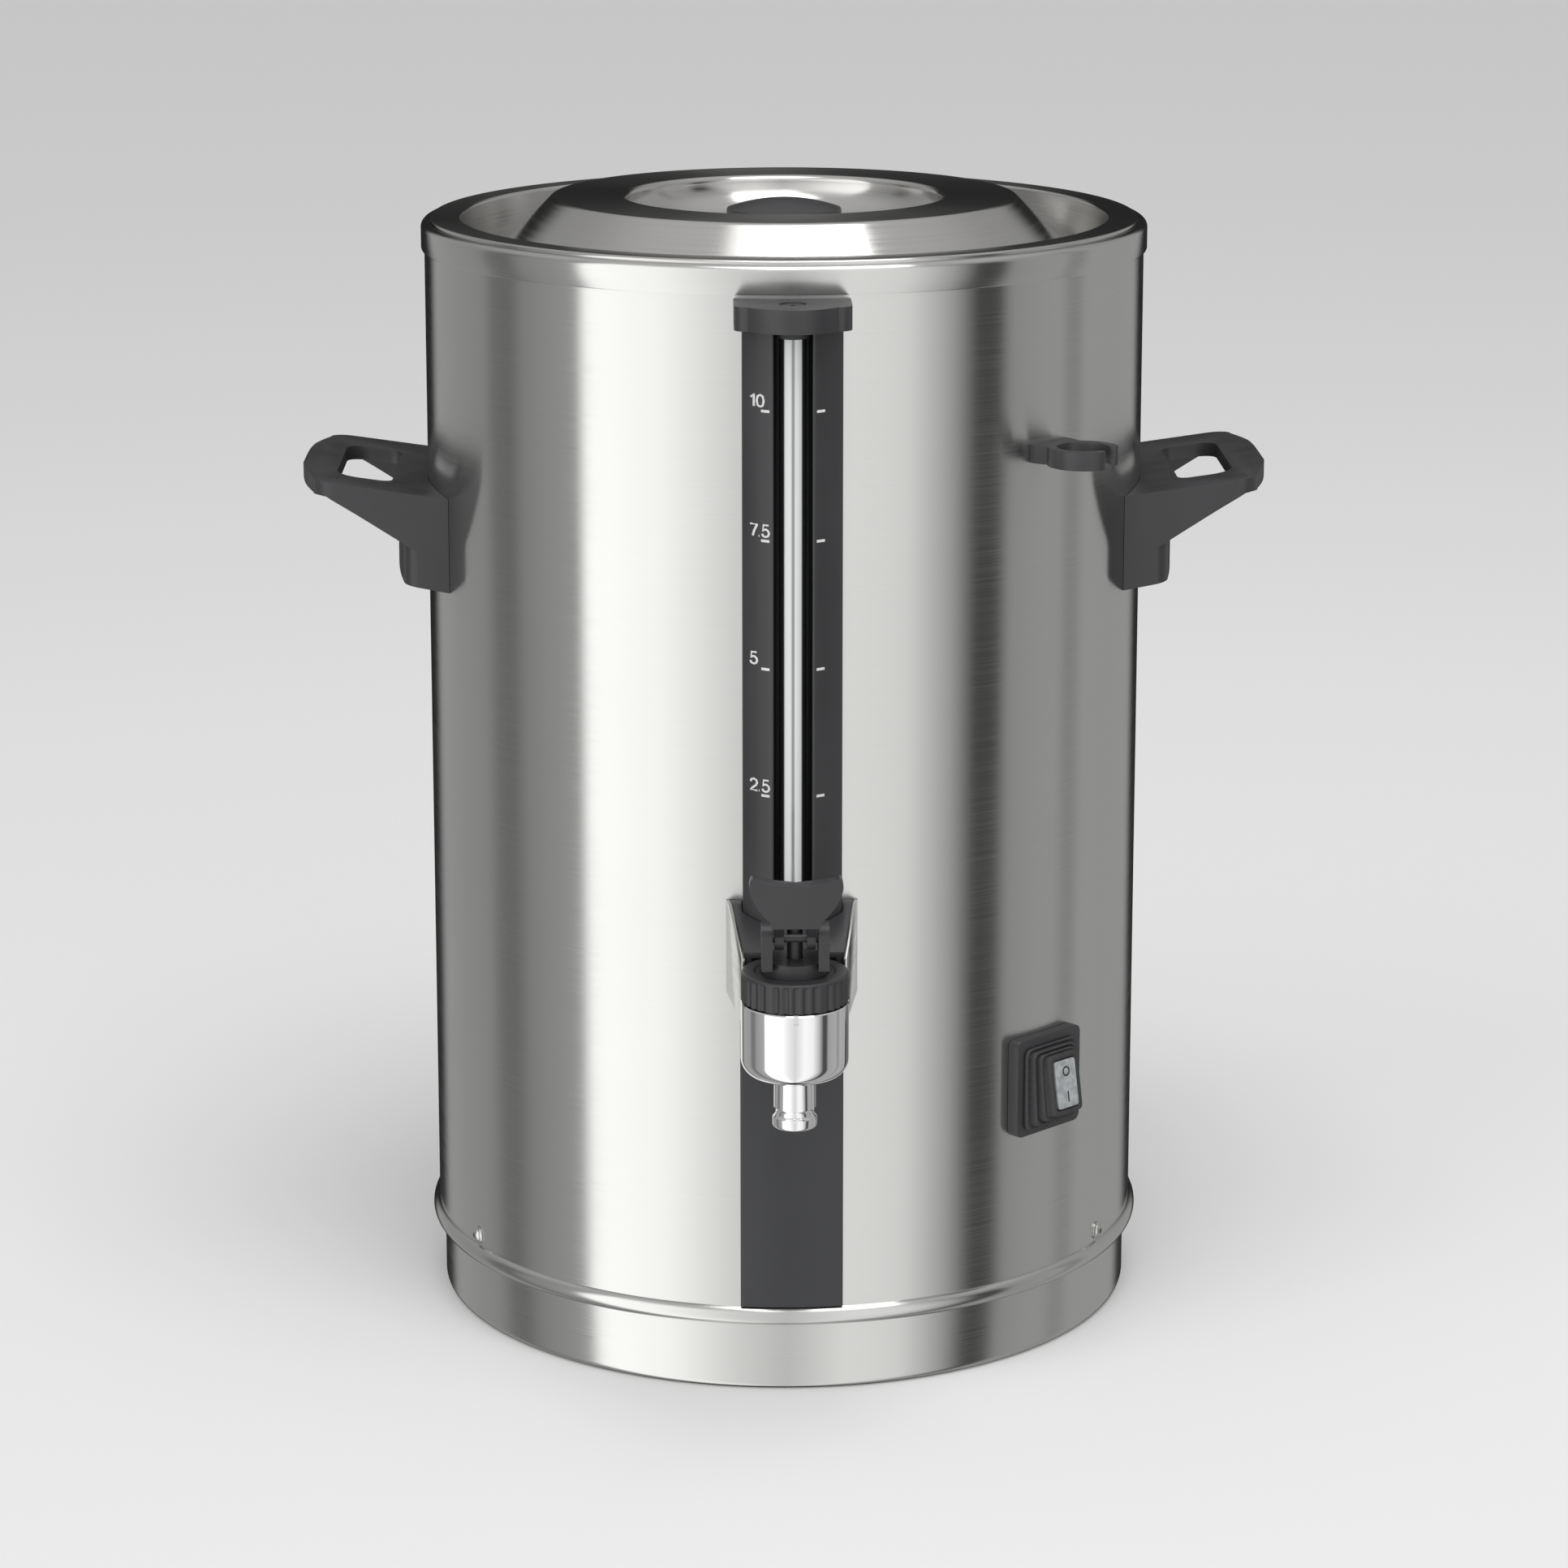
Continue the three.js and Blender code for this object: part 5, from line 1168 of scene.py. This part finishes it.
nut = spun("ring_nut_moulding", [
    (neck_radius + 0.4, nut_low.z),
    (nut_radius - 0.3, nut_low.z),
    (nut_radius, nut_low.z + 0.3),
    (nut_radius, nut_low.z + 2),
    (nut_radius, nut_low.z + 5),
    (nut_radius, nut_high.z - 2.2),
    (nut_radius, nut_high.z - 1.5),
    *arc(nut_radius - 1.0, nut_high.z - 1.0, 1.0, 0, 90, 5),
    (15.2, nut_high.z),
    (14.6, nut_high.z - 0.5),
    (12.6, nut_high.z - 0.5),
    (12.4, nut_high.z - 0.8),
    (12.4, nut_high.z - 3),
    (neck_radius + 0.4, nut_high.z - 3),
], centre_out=tap_out, steps=720, swell=nut_swell)
fit(nut, black, "black_plastic", "root", "ring_nut")

# ---- bonnet and lever pin ----
# The moulded top of the tap: a barrel that guides the stem and two ears that carry the pin.
bonnet_low = millimetres("bonnet")[0]
pin_low, pin_high = millimetres("lever_pin")
pin_out = -(pin_low.y + pin_high.y) / 2
pin_height = (pin_low.z + pin_high.z) / 2
pin_radius = (pin_high.z - pin_low.z) / 2
ear_inner = 8.4
ear_thickness = 4.0
ear_radius = 6.4
barrel_radius = 12.1
barrel_top = 189.0
stem_play = 3.2


def cross_rod(name, radius, half, out, height, steps=48):
    piece = spun(name, [(0, -half), (radius, -half), (radius, half), (0, half)], steps=steps)
    piece.data.transform(Matrix.Rotation(math.pi / 2, 4, "Y"))
    piece.data.transform(Matrix.Translation((0, -out / 1000, height / 1000)))
    return piece


bonnet = spun("bonnet_moulding", [
    (0, bonnet_low.z),
    (neck_radius - 0.2, bonnet_low.z),
    (neck_radius - 0.2, nut_high.z - 3.3),
    (barrel_radius, nut_high.z - 3.3),
    (barrel_radius, barrel_top),
    (0, barrel_top),
], centre_out=tap_out, steps=96)
for sign in (-1, 1):
    ear = prism("ear", [
        (tap_out - 8, barrel_top - 2),
        (pin_out + ear_radius - 0.5, barrel_top - 2),
        *arc(pin_out, pin_height, ear_radius, -10, 130, 14),
        (tap_out - 8, barrel_top + 4),
    ], sign * ear_inner, sign * (ear_inner + ear_thickness), "across")
    union(bonnet, ear)
cut(
    bonnet,
    round_post("stem_bore", stem_play, bonnet_low.z - 1, 220, tap_out),
    cross_rod("pin_bore", pin_radius + 0.3, 20, pin_out, pin_height),
)
fit(bonnet, black, "black_plastic", "root", "bonnet", edge=0.45)

half_pin = (pin_high.x - pin_low.x) / 2
pin = spun("lever_pin_turned", [
    (0, -half_pin),
    (pin_radius - 0.3, -half_pin),
    (pin_radius, -half_pin + 0.3),
    (pin_radius, half_pin - 0.3),
    (pin_radius - 0.3, half_pin),
    (0, half_pin),
], steps=48)
pin.data.transform(Matrix.Rotation(math.pi / 2, 4, "Y"))
pin.data.transform(Matrix.Translation((0, -pin_out / 1000, pin_height / 1000)))
fit(pin, black, "black_plastic", "root", "lever_pin")

# ---- lever ----
# One moulding: two arms on the pin, whose round noses lift the stem's cross-bar, and a waisted
# paddle with a dished top edge that a finger or a cup pulls forward.
lever_high = millimetres("tap_lever")[1]
paddle_top = lever_high.z
paddle_half = lever_high.x
paddle_waist = 8.8
paddle_thickness = 6.5
paddle_lean = math.tan(math.radians(19))
arm_inner = 4.3
arm_thickness = 3.2
arm_nose = 2.0
waist = pin_height + 8.5
neck_out = pin_out + 9.5
rise = paddle_top - waist

paddle_edge = curve_through([
    (paddle_waist, waist - 3),
    (paddle_waist + 0.5, waist + 0.8),
    (paddle_waist + 3.6, waist + rise * 0.24),
    (paddle_half - 1.6, waist + rise * 0.5),
    (paddle_half - 0.1, waist + rise * 0.74),
    (paddle_half - 0.2, paddle_top - 1.8),
    (paddle_half - 1.4, paddle_top - 0.2),
    (paddle_half * 0.62, paddle_top - 1.7),
    (0.01, paddle_top - 3.0),
])
paddle = prism("lever_moulding", mirrored(paddle_edge), pin_out - 5, pin_out + 40, "out")
combine(paddle, prism("lean", [
    (neck_out - paddle_thickness / 2, waist - 1.5),
    (neck_out + paddle_thickness / 2, waist - 1.5),
    (neck_out + rise * paddle_lean + paddle_thickness / 2, paddle_top + 2),
    (neck_out + rise * paddle_lean - paddle_thickness / 2, paddle_top + 2),
], -paddle_half - 1, paddle_half + 1, "across"), "INTERSECT")
soft = paddle.modifiers.new("edges", "BEVEL")
soft.width = 0.0018
soft.segments = 4
soft.limit_method = "ANGLE"
soft.angle_limit = math.radians(50)
settle(paddle)
for sign in (-1, 1):
    arm = prism("arm", [
        *arc(tap_out, pin_height, arm_nose, 90, 270, 10),
        *arc(pin_out, pin_height, 2.7 + pin_radius, -95, 20, 10),
        (neck_out + paddle_thickness / 2, waist),
        (neck_out - paddle_thickness / 2, waist),
        (pin_out + 0.6, pin_height + arm_nose + 0.2),
    ], sign * arm_inner, sign * (arm_inner + arm_thickness), "across")
    union(paddle, arm)
cut(paddle, cross_rod("pin_bore", pin_radius + 0.3, 20, pin_out, pin_height))
fit(paddle, black, "black_plastic", "lever", "tap_lever", edge=0.3)

# ---- stem ----
# The moulded stem, with the cross-bar that the lever lifts. The silicone cup on its foot and the
# coil spring that presses it down are kept as the frame makes them.
stem_low, stem_high = millimetres("tap_stem")
stem_radius = 2.9
bar_bottom = pin_height + arm_nose + 0.3
stem = spun("stem_turned", [
    (0, stem_low.z),
    (stem_radius - 0.4, stem_low.z),
    (stem_radius, stem_low.z + 0.4),
    (stem_radius, bar_bottom + 1),
    (0, bar_bottom + 1),
], centre_out=tap_out, steps=48)
bar_half = stem_high.x
bar = prism("bar", [
    *arc(bar_half - 1.5, tap_out - 1.1, 1.5, -90, 0, 4),
    *arc(bar_half - 1.5, tap_out + 1.1, 1.5, 0, 90, 4),
    *arc(-bar_half + 1.5, tap_out + 1.1, 1.5, 90, 180, 4),
    *arc(-bar_half + 1.5, tap_out - 1.1, 1.5, 180, 270, 4),
], bar_bottom, stem_high.z, "up")
union(stem, bar)
fit(stem, black, "black_plastic", "stem", "tap_stem", edge=0.3)

# ---- dark strip ----
# A thin black strip on the drum below the tap, which hides drips.
strip_low, strip_high = millimetres("lower_strip")
strip_half = 19.7
strip_front = drum_radius + 1.5
strip_swing = math.degrees(math.asin(strip_half / strip_front))
strip = prism("drip_strip", [
    *on_drum(strip_half - 0.2, gap=0.05, steps=24),
    *arc(0, 0, strip_front - 0.3, 90 - strip_swing, 90 + strip_swing, 24),
], strip_low.z, strip_high.z, "up")
satin_black = moulded("strip_black", (0.036, 0.037, 0.04), 0.4, grain=0.008)
fit(strip, satin_black, "black_plastic", "root", "lower_strip", edge=0.2)

# ---- handles ----
# Black mouldings screwed on from inside: a block against the drum, and a rising loop with a slot
# for the fingers, stiffened by a gusset along each end.
handle_half = 54
handle_ends = drum_radius + 42.5
handle_front = drum_radius + 49.5
handle_top = 336
handle_slope = 0.14
handle_plate = 5.5
handle_bottom = 298
under_loop, over_loop = 300, 360
block_front = drum_radius + 11.8
block_ends = drum_radius + 7.5
slot_half = 34
gusset_edge = [(1.5, 313.4), (7.5, 317.2), (25, 328.4), (36.6, 335.5), (39.5, 337.5)]


def top_at(out):
    return handle_top + handle_slope * (out - drum_radius)


def handle_shape():
    deep = drum_radius - 16
    plan = bowed(handle_half, handle_ends, handle_front, deep, 9, 10)
    loop = prism("loop", plan, under_loop, over_loop, "up")
    combine(loop, prism("slab", [
        (deep, top_at(deep) - handle_plate),
        (handle_front - 10, top_at(handle_front - 10) - handle_plate),
        *arc(handle_front - 3, top_at(handle_front) - handle_plate + 1.6, 3, -80, 0, 6),
        *arc(handle_front - 2.6, top_at(handle_front) - 2.8, 2.6, 0, 82, 6),
        (deep, top_at(deep)),
    ], -handle_half - 1, handle_half + 1, "across"), "INTERSECT")
    slot_in, slot_out = block_front + 0.8, handle_front - 15
    near, far = 5.0, 9.0
    cut(loop, prism("slot", [
        *arc(slot_half - near, slot_in + near, near, -90, 0, 8),
        *arc(slot_half - far, slot_out - far, far, 0, 90, 8),
        *arc(-slot_half + far, slot_out - far, far, 90, 180, 8),
        *arc(-slot_half + near, slot_in + near, near, 180, 270, 8),
    ], 290, 370, "up"))
    block_plan = bowed(handle_half, block_ends, block_front, deep, 6, 8)
    block = prism("block", block_plan, handle_bottom - 4, 345, "up")
    combine(block, prism("profile", [
        (deep, handle_bottom - 2),
        (block_front - 6, handle_bottom + 2.2),
        *arc(block_front - 5, handle_bottom + 8, 5.6, -60, 0, 6),
        (block_front + 1, top_at(block_front) - 1),
        (deep, top_at(deep)),
    ], -handle_half - 1, handle_half + 1, "across"), "INTERSECT")
    union(loop, block)
    for sign in (-1, 1):
        gusset = prism("gusset", [
            *[(drum_radius + out, height) for out, height in curve_through(gusset_edge, 4)],
            (drum_radius + 39.5, top_at(drum_radius + 39.5) - 1),
            (drum_radius + 1.5, top_at(drum_radius) - 1),
        ], sign * handle_half, sign * (handle_half - 4), "across")
        combine(gusset, prism("outline", plan, handle_bottom, over_loop, "up"), "INTERSECT")
        union(loop, gusset)
    cut(loop, drum_tool(0.1))
    return loop


for side, azimuth in (("right", 90), ("left", -90)):
    handle = handle_shape()
    handle.name = f"handle_{side}_moulding"
    fit(handle, black, "black_plastic", "root", f"handle_{side}", azimuth=azimuth, edge=1.1, rounds=3)

# ---- open clip ----
# A springy moulded ring with a gap, on a short foot screwed to the drum from inside.
clip_azimuth = 43.6
clip_low, clip_high = millimetres("side_clip")
clip_out = drum_radius + 17
clip_bore = 10.0
clip_wall = 3.5
clip_mouth = 70
clip_turn = 20
clip_start = 90 - clip_turn + clip_mouth / 2
clip_end = clip_start + 360 - clip_mouth
tip = clip_bore + clip_wall / 2


def clip_tip(angle, first):
    cx = tip * math.cos(math.radians(angle))
    cy = clip_out + tip * math.sin(math.radians(angle))
    return arc(cx, cy, clip_wall / 2, first, first + 180, 8)[1:-1]


clip = prism("clip_ring", [
    *arc(0, clip_out, clip_bore + clip_wall, clip_start, clip_end, 60),
    *clip_tip(clip_end, clip_end),
    *arc(0, clip_out, clip_bore, clip_end, clip_start, 60),
    *clip_tip(clip_start, clip_start + 180),
], clip_low.z, clip_high.z, "up")
foot = prism("foot", [
    (-10.5, drum_radius - 4),
    (10.5, drum_radius - 4),
    (10.5, drum_radius + 2.5),
    (9.0, drum_radius + 8),
    (-9.0, drum_radius + 8),
    (-10.5, drum_radius + 2.5),
], clip_low.z, clip_high.z, "up")
cut(foot, round_post("bore", clip_bore, clip_low.z - 1, clip_high.z + 1, clip_out, 96))
union(clip, foot)
cut(clip, drum_tool(0.1))
fit(clip, black, "black_plastic", "root", "side_clip", azimuth=clip_azimuth, edge=0.5)

# ---- switch ----
# A rocker in a nearly square bezel, under a stepped rubber boot that is open over the rocker's
# lamp window. The window is marked with a ring for off and a bar for on.
switch_azimuth = 43.5
switch_height = 113.1
bezel_front = drum_radius + 4
face_out = drum_radius + 13
switch_tilt = 8.6
face_radius = 12
pivot_out = face_out - face_radius * math.cos(math.radians(switch_tilt))
pivot_height = switch_height + 1.15 - face_radius * math.sin(math.radians(switch_tilt))


def rounded(half_x, half_z, corner, height, steps=6):
    x, z = half_x - corner, half_z - corner
    return [
        *arc(x, height - z, corner, -90, 0, steps),
        *arc(x, height + z, corner, 0, 90, steps),
        *arc(-x, height + z, corner, 90, 180, steps),
        *arc(-x, height - z, corner, 180, 270, steps),
    ]


def tilt_back(piece, degrees):
    """Leans a piece about the rocker's pivot, top inwards."""
    centre = Vector((0, -pivot_out / 1000, pivot_height / 1000))
    lean = Matrix.Rotation(-math.radians(degrees), 4, "X")
    piece.data.transform(Matrix.Translation(centre) @ lean @ Matrix.Translation(-centre))
    return piece


bezel = prism("switch_bezel", rounded(18, 19.5, 3, switch_height), drum_radius - 6, bezel_front, "out")
cut(bezel, drum_tool(0.1))
housing_section = rounded(13.5, 15, 0.5, switch_height, 2)
pocket_section = rounded(10.4, 13.6, 2, pivot_height)
union(bezel, prism("housing", housing_section, drum_radius - 25, bezel_front - 1, "out"))
cut(bezel, prism("pocket", pocket_section, drum_radius - 14, bezel_front + 1, "out"))
fit(bezel, black, "black_plastic", "root", "switch_frame", azimuth=switch_azimuth, edge=0.8, rounds=3)

rocker_front = pivot_out + face_radius - 1.3
rocker_section = rounded(6.7, 10.2, 2, pivot_height)
rocker = prism("switch_rocker_body", rocker_section, pivot_out - 6, rocker_front, "out")
tilt_back(rocker, switch_tilt)
fit(rocker, black, "black_plastic", "rocker", "switch_rocker", azimuth=switch_azimuth, edge=0.4)


def lamp_window():
    made = Finish("lamp_window", (0.42, 0.44, 0.45), 0.0, 0.22)
    made.set("Transmission Weight", 0.15)
    made.set("Coat Weight", 0.5)
    cloudy = made.noise((1, 1, 1), 300.0, 3.0)
    made.link(made.blend(made.spread(cloudy, 0, 1), (0.30, 0.32, 0.33), (0.55, 0.57, 0.58)), "Base Color")
    made.bump(cloudy, 0.03, 0.3)
    return made.material


window_front = rocker_front + 2.0
window_section = rounded(5.75, 9.4, 1.2, pivot_height)
window = prism("switch_lens", window_section, rocker_front + 0.1, window_front, "out")
tilt_back(window, switch_tilt)
window_plastic = lamp_window()
fit(
    window,
    window_plastic,
    "lamp_window",
    "rocker",
    "switch_window",
    azimuth=switch_azimuth,
    edge=0.5,
    rounds=3,
)

mark_ink = moulded("mark_ink", (0.02, 0.02, 0.022), 0.5)
mark_back, mark_front = window_front - 0.05, window_front + 0.06
ring_bore, ring_radius = 1.35, 2.0
mark_spread = 5
ring_mark = outward("off_ring", [
    (ring_bore, mark_back),
    (ring_radius, mark_back),
    (ring_radius, mark_front),
    (ring_bore, mark_front),
], pivot_height + mark_spread, steps=48)
fit(tilt_back(ring_mark, switch_tilt), mark_ink, "black_plastic", "rocker", azimuth=switch_azimuth)
bar_section = rounded(0.34, 2.1, 0.1, pivot_height - mark_spread, 2)
bar_mark = prism("on_bar", bar_section, mark_back, mark_front, "out")
fit(tilt_back(bar_mark, switch_tilt), mark_ink, "black_plastic", "rocker", azimuth=switch_azimuth)


# The boot is lofted through rounded rings: out along the rocker and back in on the inside.
def boot_ring(half_x, half_z, corner, out, tilt):
    points = []
    lean = math.radians(tilt)
    for x, z in rounded(half_x, half_z, corner, 0, 5):
        along = out - pivot_out
        points.append((
            x,
            -(pivot_out + along * math.cos(lean) - z * math.sin(lean)),
            pivot_height + z * math.cos(lean) + along * math.sin(lean),
        ))
    return points


def loft(name, rings):
    count = len(rings[0])
    points = [p for ring in rings for p in ring]
    faces = []
    for r in range(len(rings)):
        here, there = r * count, ((r + 1) % len(rings)) * count
        for i in range(count):
            j = (i + 1) % count
            faces.append((here + i, here + j, there + j, there + i))
    return object_of(name, points, faces)


boot_front = rocker_front + 1.3
boot_rings = [
    (14.4, 16.4, 3.0, bezel_front + 0.05, 0),
    (14.6, 16.6, 3.0, bezel_front + 0.6, 0),
    (14.5, 16.5, 3.0, bezel_front + 1.6, 0.5),
    (13.8, 16.0, 3.0, bezel_front + 2.1, 0.8),
    (12.7, 15.2, 2.8, bezel_front + 1.3, 1),
    (12.4, 15.0, 2.8, bezel_front + 1.4, 1.4),
    (12.4, 15.0, 2.8, bezel_front + 3.4, 2.5),
    (12.0, 14.6, 2.8, bezel_front + 4.2, 3),
    (11.2, 14.0, 2.6, bezel_front + 4.2, 3.4),
    (10.5, 13.6, 2.6, bezel_front + 3.3, 3.6),
    (10.2, 13.4, 2.6, bezel_front + 3.4, 4),
    (10.2, 13.4, 2.6, bezel_front + 5.6, 5.4),
    (9.8, 13.0, 2.6, bezel_front + 6.4, 5.8),
    (9.1, 12.5, 2.4, bezel_front + 6.3, 6.2),
    (8.6, 12.1, 2.4, bezel_front + 5.6, 6.6),
    (8.5, 12.0, 2.4, boot_front - 0.9, 8.6),
    (8.3, 11.8, 2.2, boot_front, 8.6),
    (7.6, 11.1, 2.0, boot_front + 0.3, 8.6),
    (6.6, 10.2, 1.7, boot_front + 0.2, 8.6),
    (6.1, 9.8, 1.5, boot_front - 0.4, 8.6),
    (5.9, 9.6, 1.4, boot_front - 1.2, 8.6),
    (7.6, 11.1, 2.0, boot_front - 1.2, 8.6),
    (8.0, 11.5, 2.0, bezel_front + 4.8, 6.2),
    (9.4, 12.5, 2.2, bezel_front + 4.4, 4),
    (11.2, 13.8, 2.4, bezel_front + 2.4, 2),
    (12.0, 14.6, 2.4, bezel_front + 0.4, 0.5),
    (12.6, 14.8, 2.4, bezel_front + 0.05, 0),
]
boot = loft("switch_boot_skin", [boot_ring(*ring) for ring in boot_rings])
boot.data.transform(Matrix.Rotation(math.radians(switch_azimuth), 4, "Z"))
crease = boot.modifiers.new("soften", "SUBSURF")
crease.levels = crease.render_levels = 1
settle(boot)
smooth(boot, 50)
boot.data.materials.append(black_rubber)


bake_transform(boot)
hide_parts("switch_boot")

# ---- mains inlet ----
# A moulded appliance inlet in the back of the drum, with two side pins and an earth pin.
inlet_height = 75
inlet_front = drum_radius + 4
inlet = prism("inlet_moulding", rounded(16, 12.5, 2, inlet_height), drum_radius - 5, inlet_front, "out")
cut(inlet, drum_tool(0.1))
inlet_body = rounded(13.5, 9.8, 0.5, inlet_height, 2)
union(inlet, prism("housing", inlet_body, drum_radius - 22, inlet_front - 1, "out"))
recess_x, recess_z, chamfer = 12.2, 8.4, 4
cut(inlet, prism("recess", [
    (-recess_x, inlet_height - recess_z),
    (recess_x, inlet_height - recess_z),
    (recess_x, inlet_height + recess_z - chamfer),
    (recess_x - chamfer, inlet_height + recess_z),
    (-recess_x + chamfer, inlet_height + recess_z),
    (-recess_x, inlet_height + recess_z - chamfer),
], inlet_front - 17.5, inlet_front + 1, "out"))
fit(inlet, black, "black_plastic", "root", "inlet_socket", azimuth=180, edge=0.5)

# ---- pieces kept as the frame makes them ----
# Fasteners, heater parts, insulation and the like sit out of sight, and the inlet's pins are plain
# bars, so they need only their finishes.
brass = plated("brass", (0.72, 0.52, 0.24), 0.3)
cast_aluminium = plated("cast_aluminium", (0.6, 0.61, 0.62), 0.45)
silicone = rubber("red_silicone", (0.42, 0.09, 0.06), 0.55)
glazed = moulded("glazed_ceramic", (0.75, 0.72, 0.65), 0.3)


def felted():
    made = Finish("felted_wool", (0.6, 0.55, 0.4), 0.0, 0.95)
    fibre = made.noise((1, 1, 1), 350.0, 6.0, 0.7)
    made.link(made.blend(made.spread(fibre, 0, 1), (0.45, 0.4, 0.28), (0.72, 0.67, 0.52)), "Base Color")
    made.bump(fibre, 1.2, 0.8)
    return made.material


kept = {
    "outlet_pipe": vessel_steel,
    "heater_clamp": screw_plate,
    "heater_nut": screw_plate,
    "heater_plate": cast_aluminium,
    "heater_element": plated("element_sheath", (0.25, 0.25, 0.25), 0.5),
    "outlet_sleeve": silicone,
    "insulation_sleeve": felted(),
    "thermostat": black,
    "thermal_cutout": glazed,
    "terminal_block": glazed,
    "tap_gasket": silicone,
    "tap_lock_nut": brass,
    "seat_cup": silicone,
    "tap_spring": screw_plate,
    "clip_screw": screw_plate,
    "inlet_pin_live": brass,
    "inlet_pin_neutral": brass,
    "inlet_pin_earth": brass,
    **{f"handle_screw_{side}_{n}": screw_plate for side in ("left", "right") for n in (1, 2)},
}
for name, material in kept.items():
    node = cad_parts[name]
    for slot in node.material_slots:
        slot.material = material
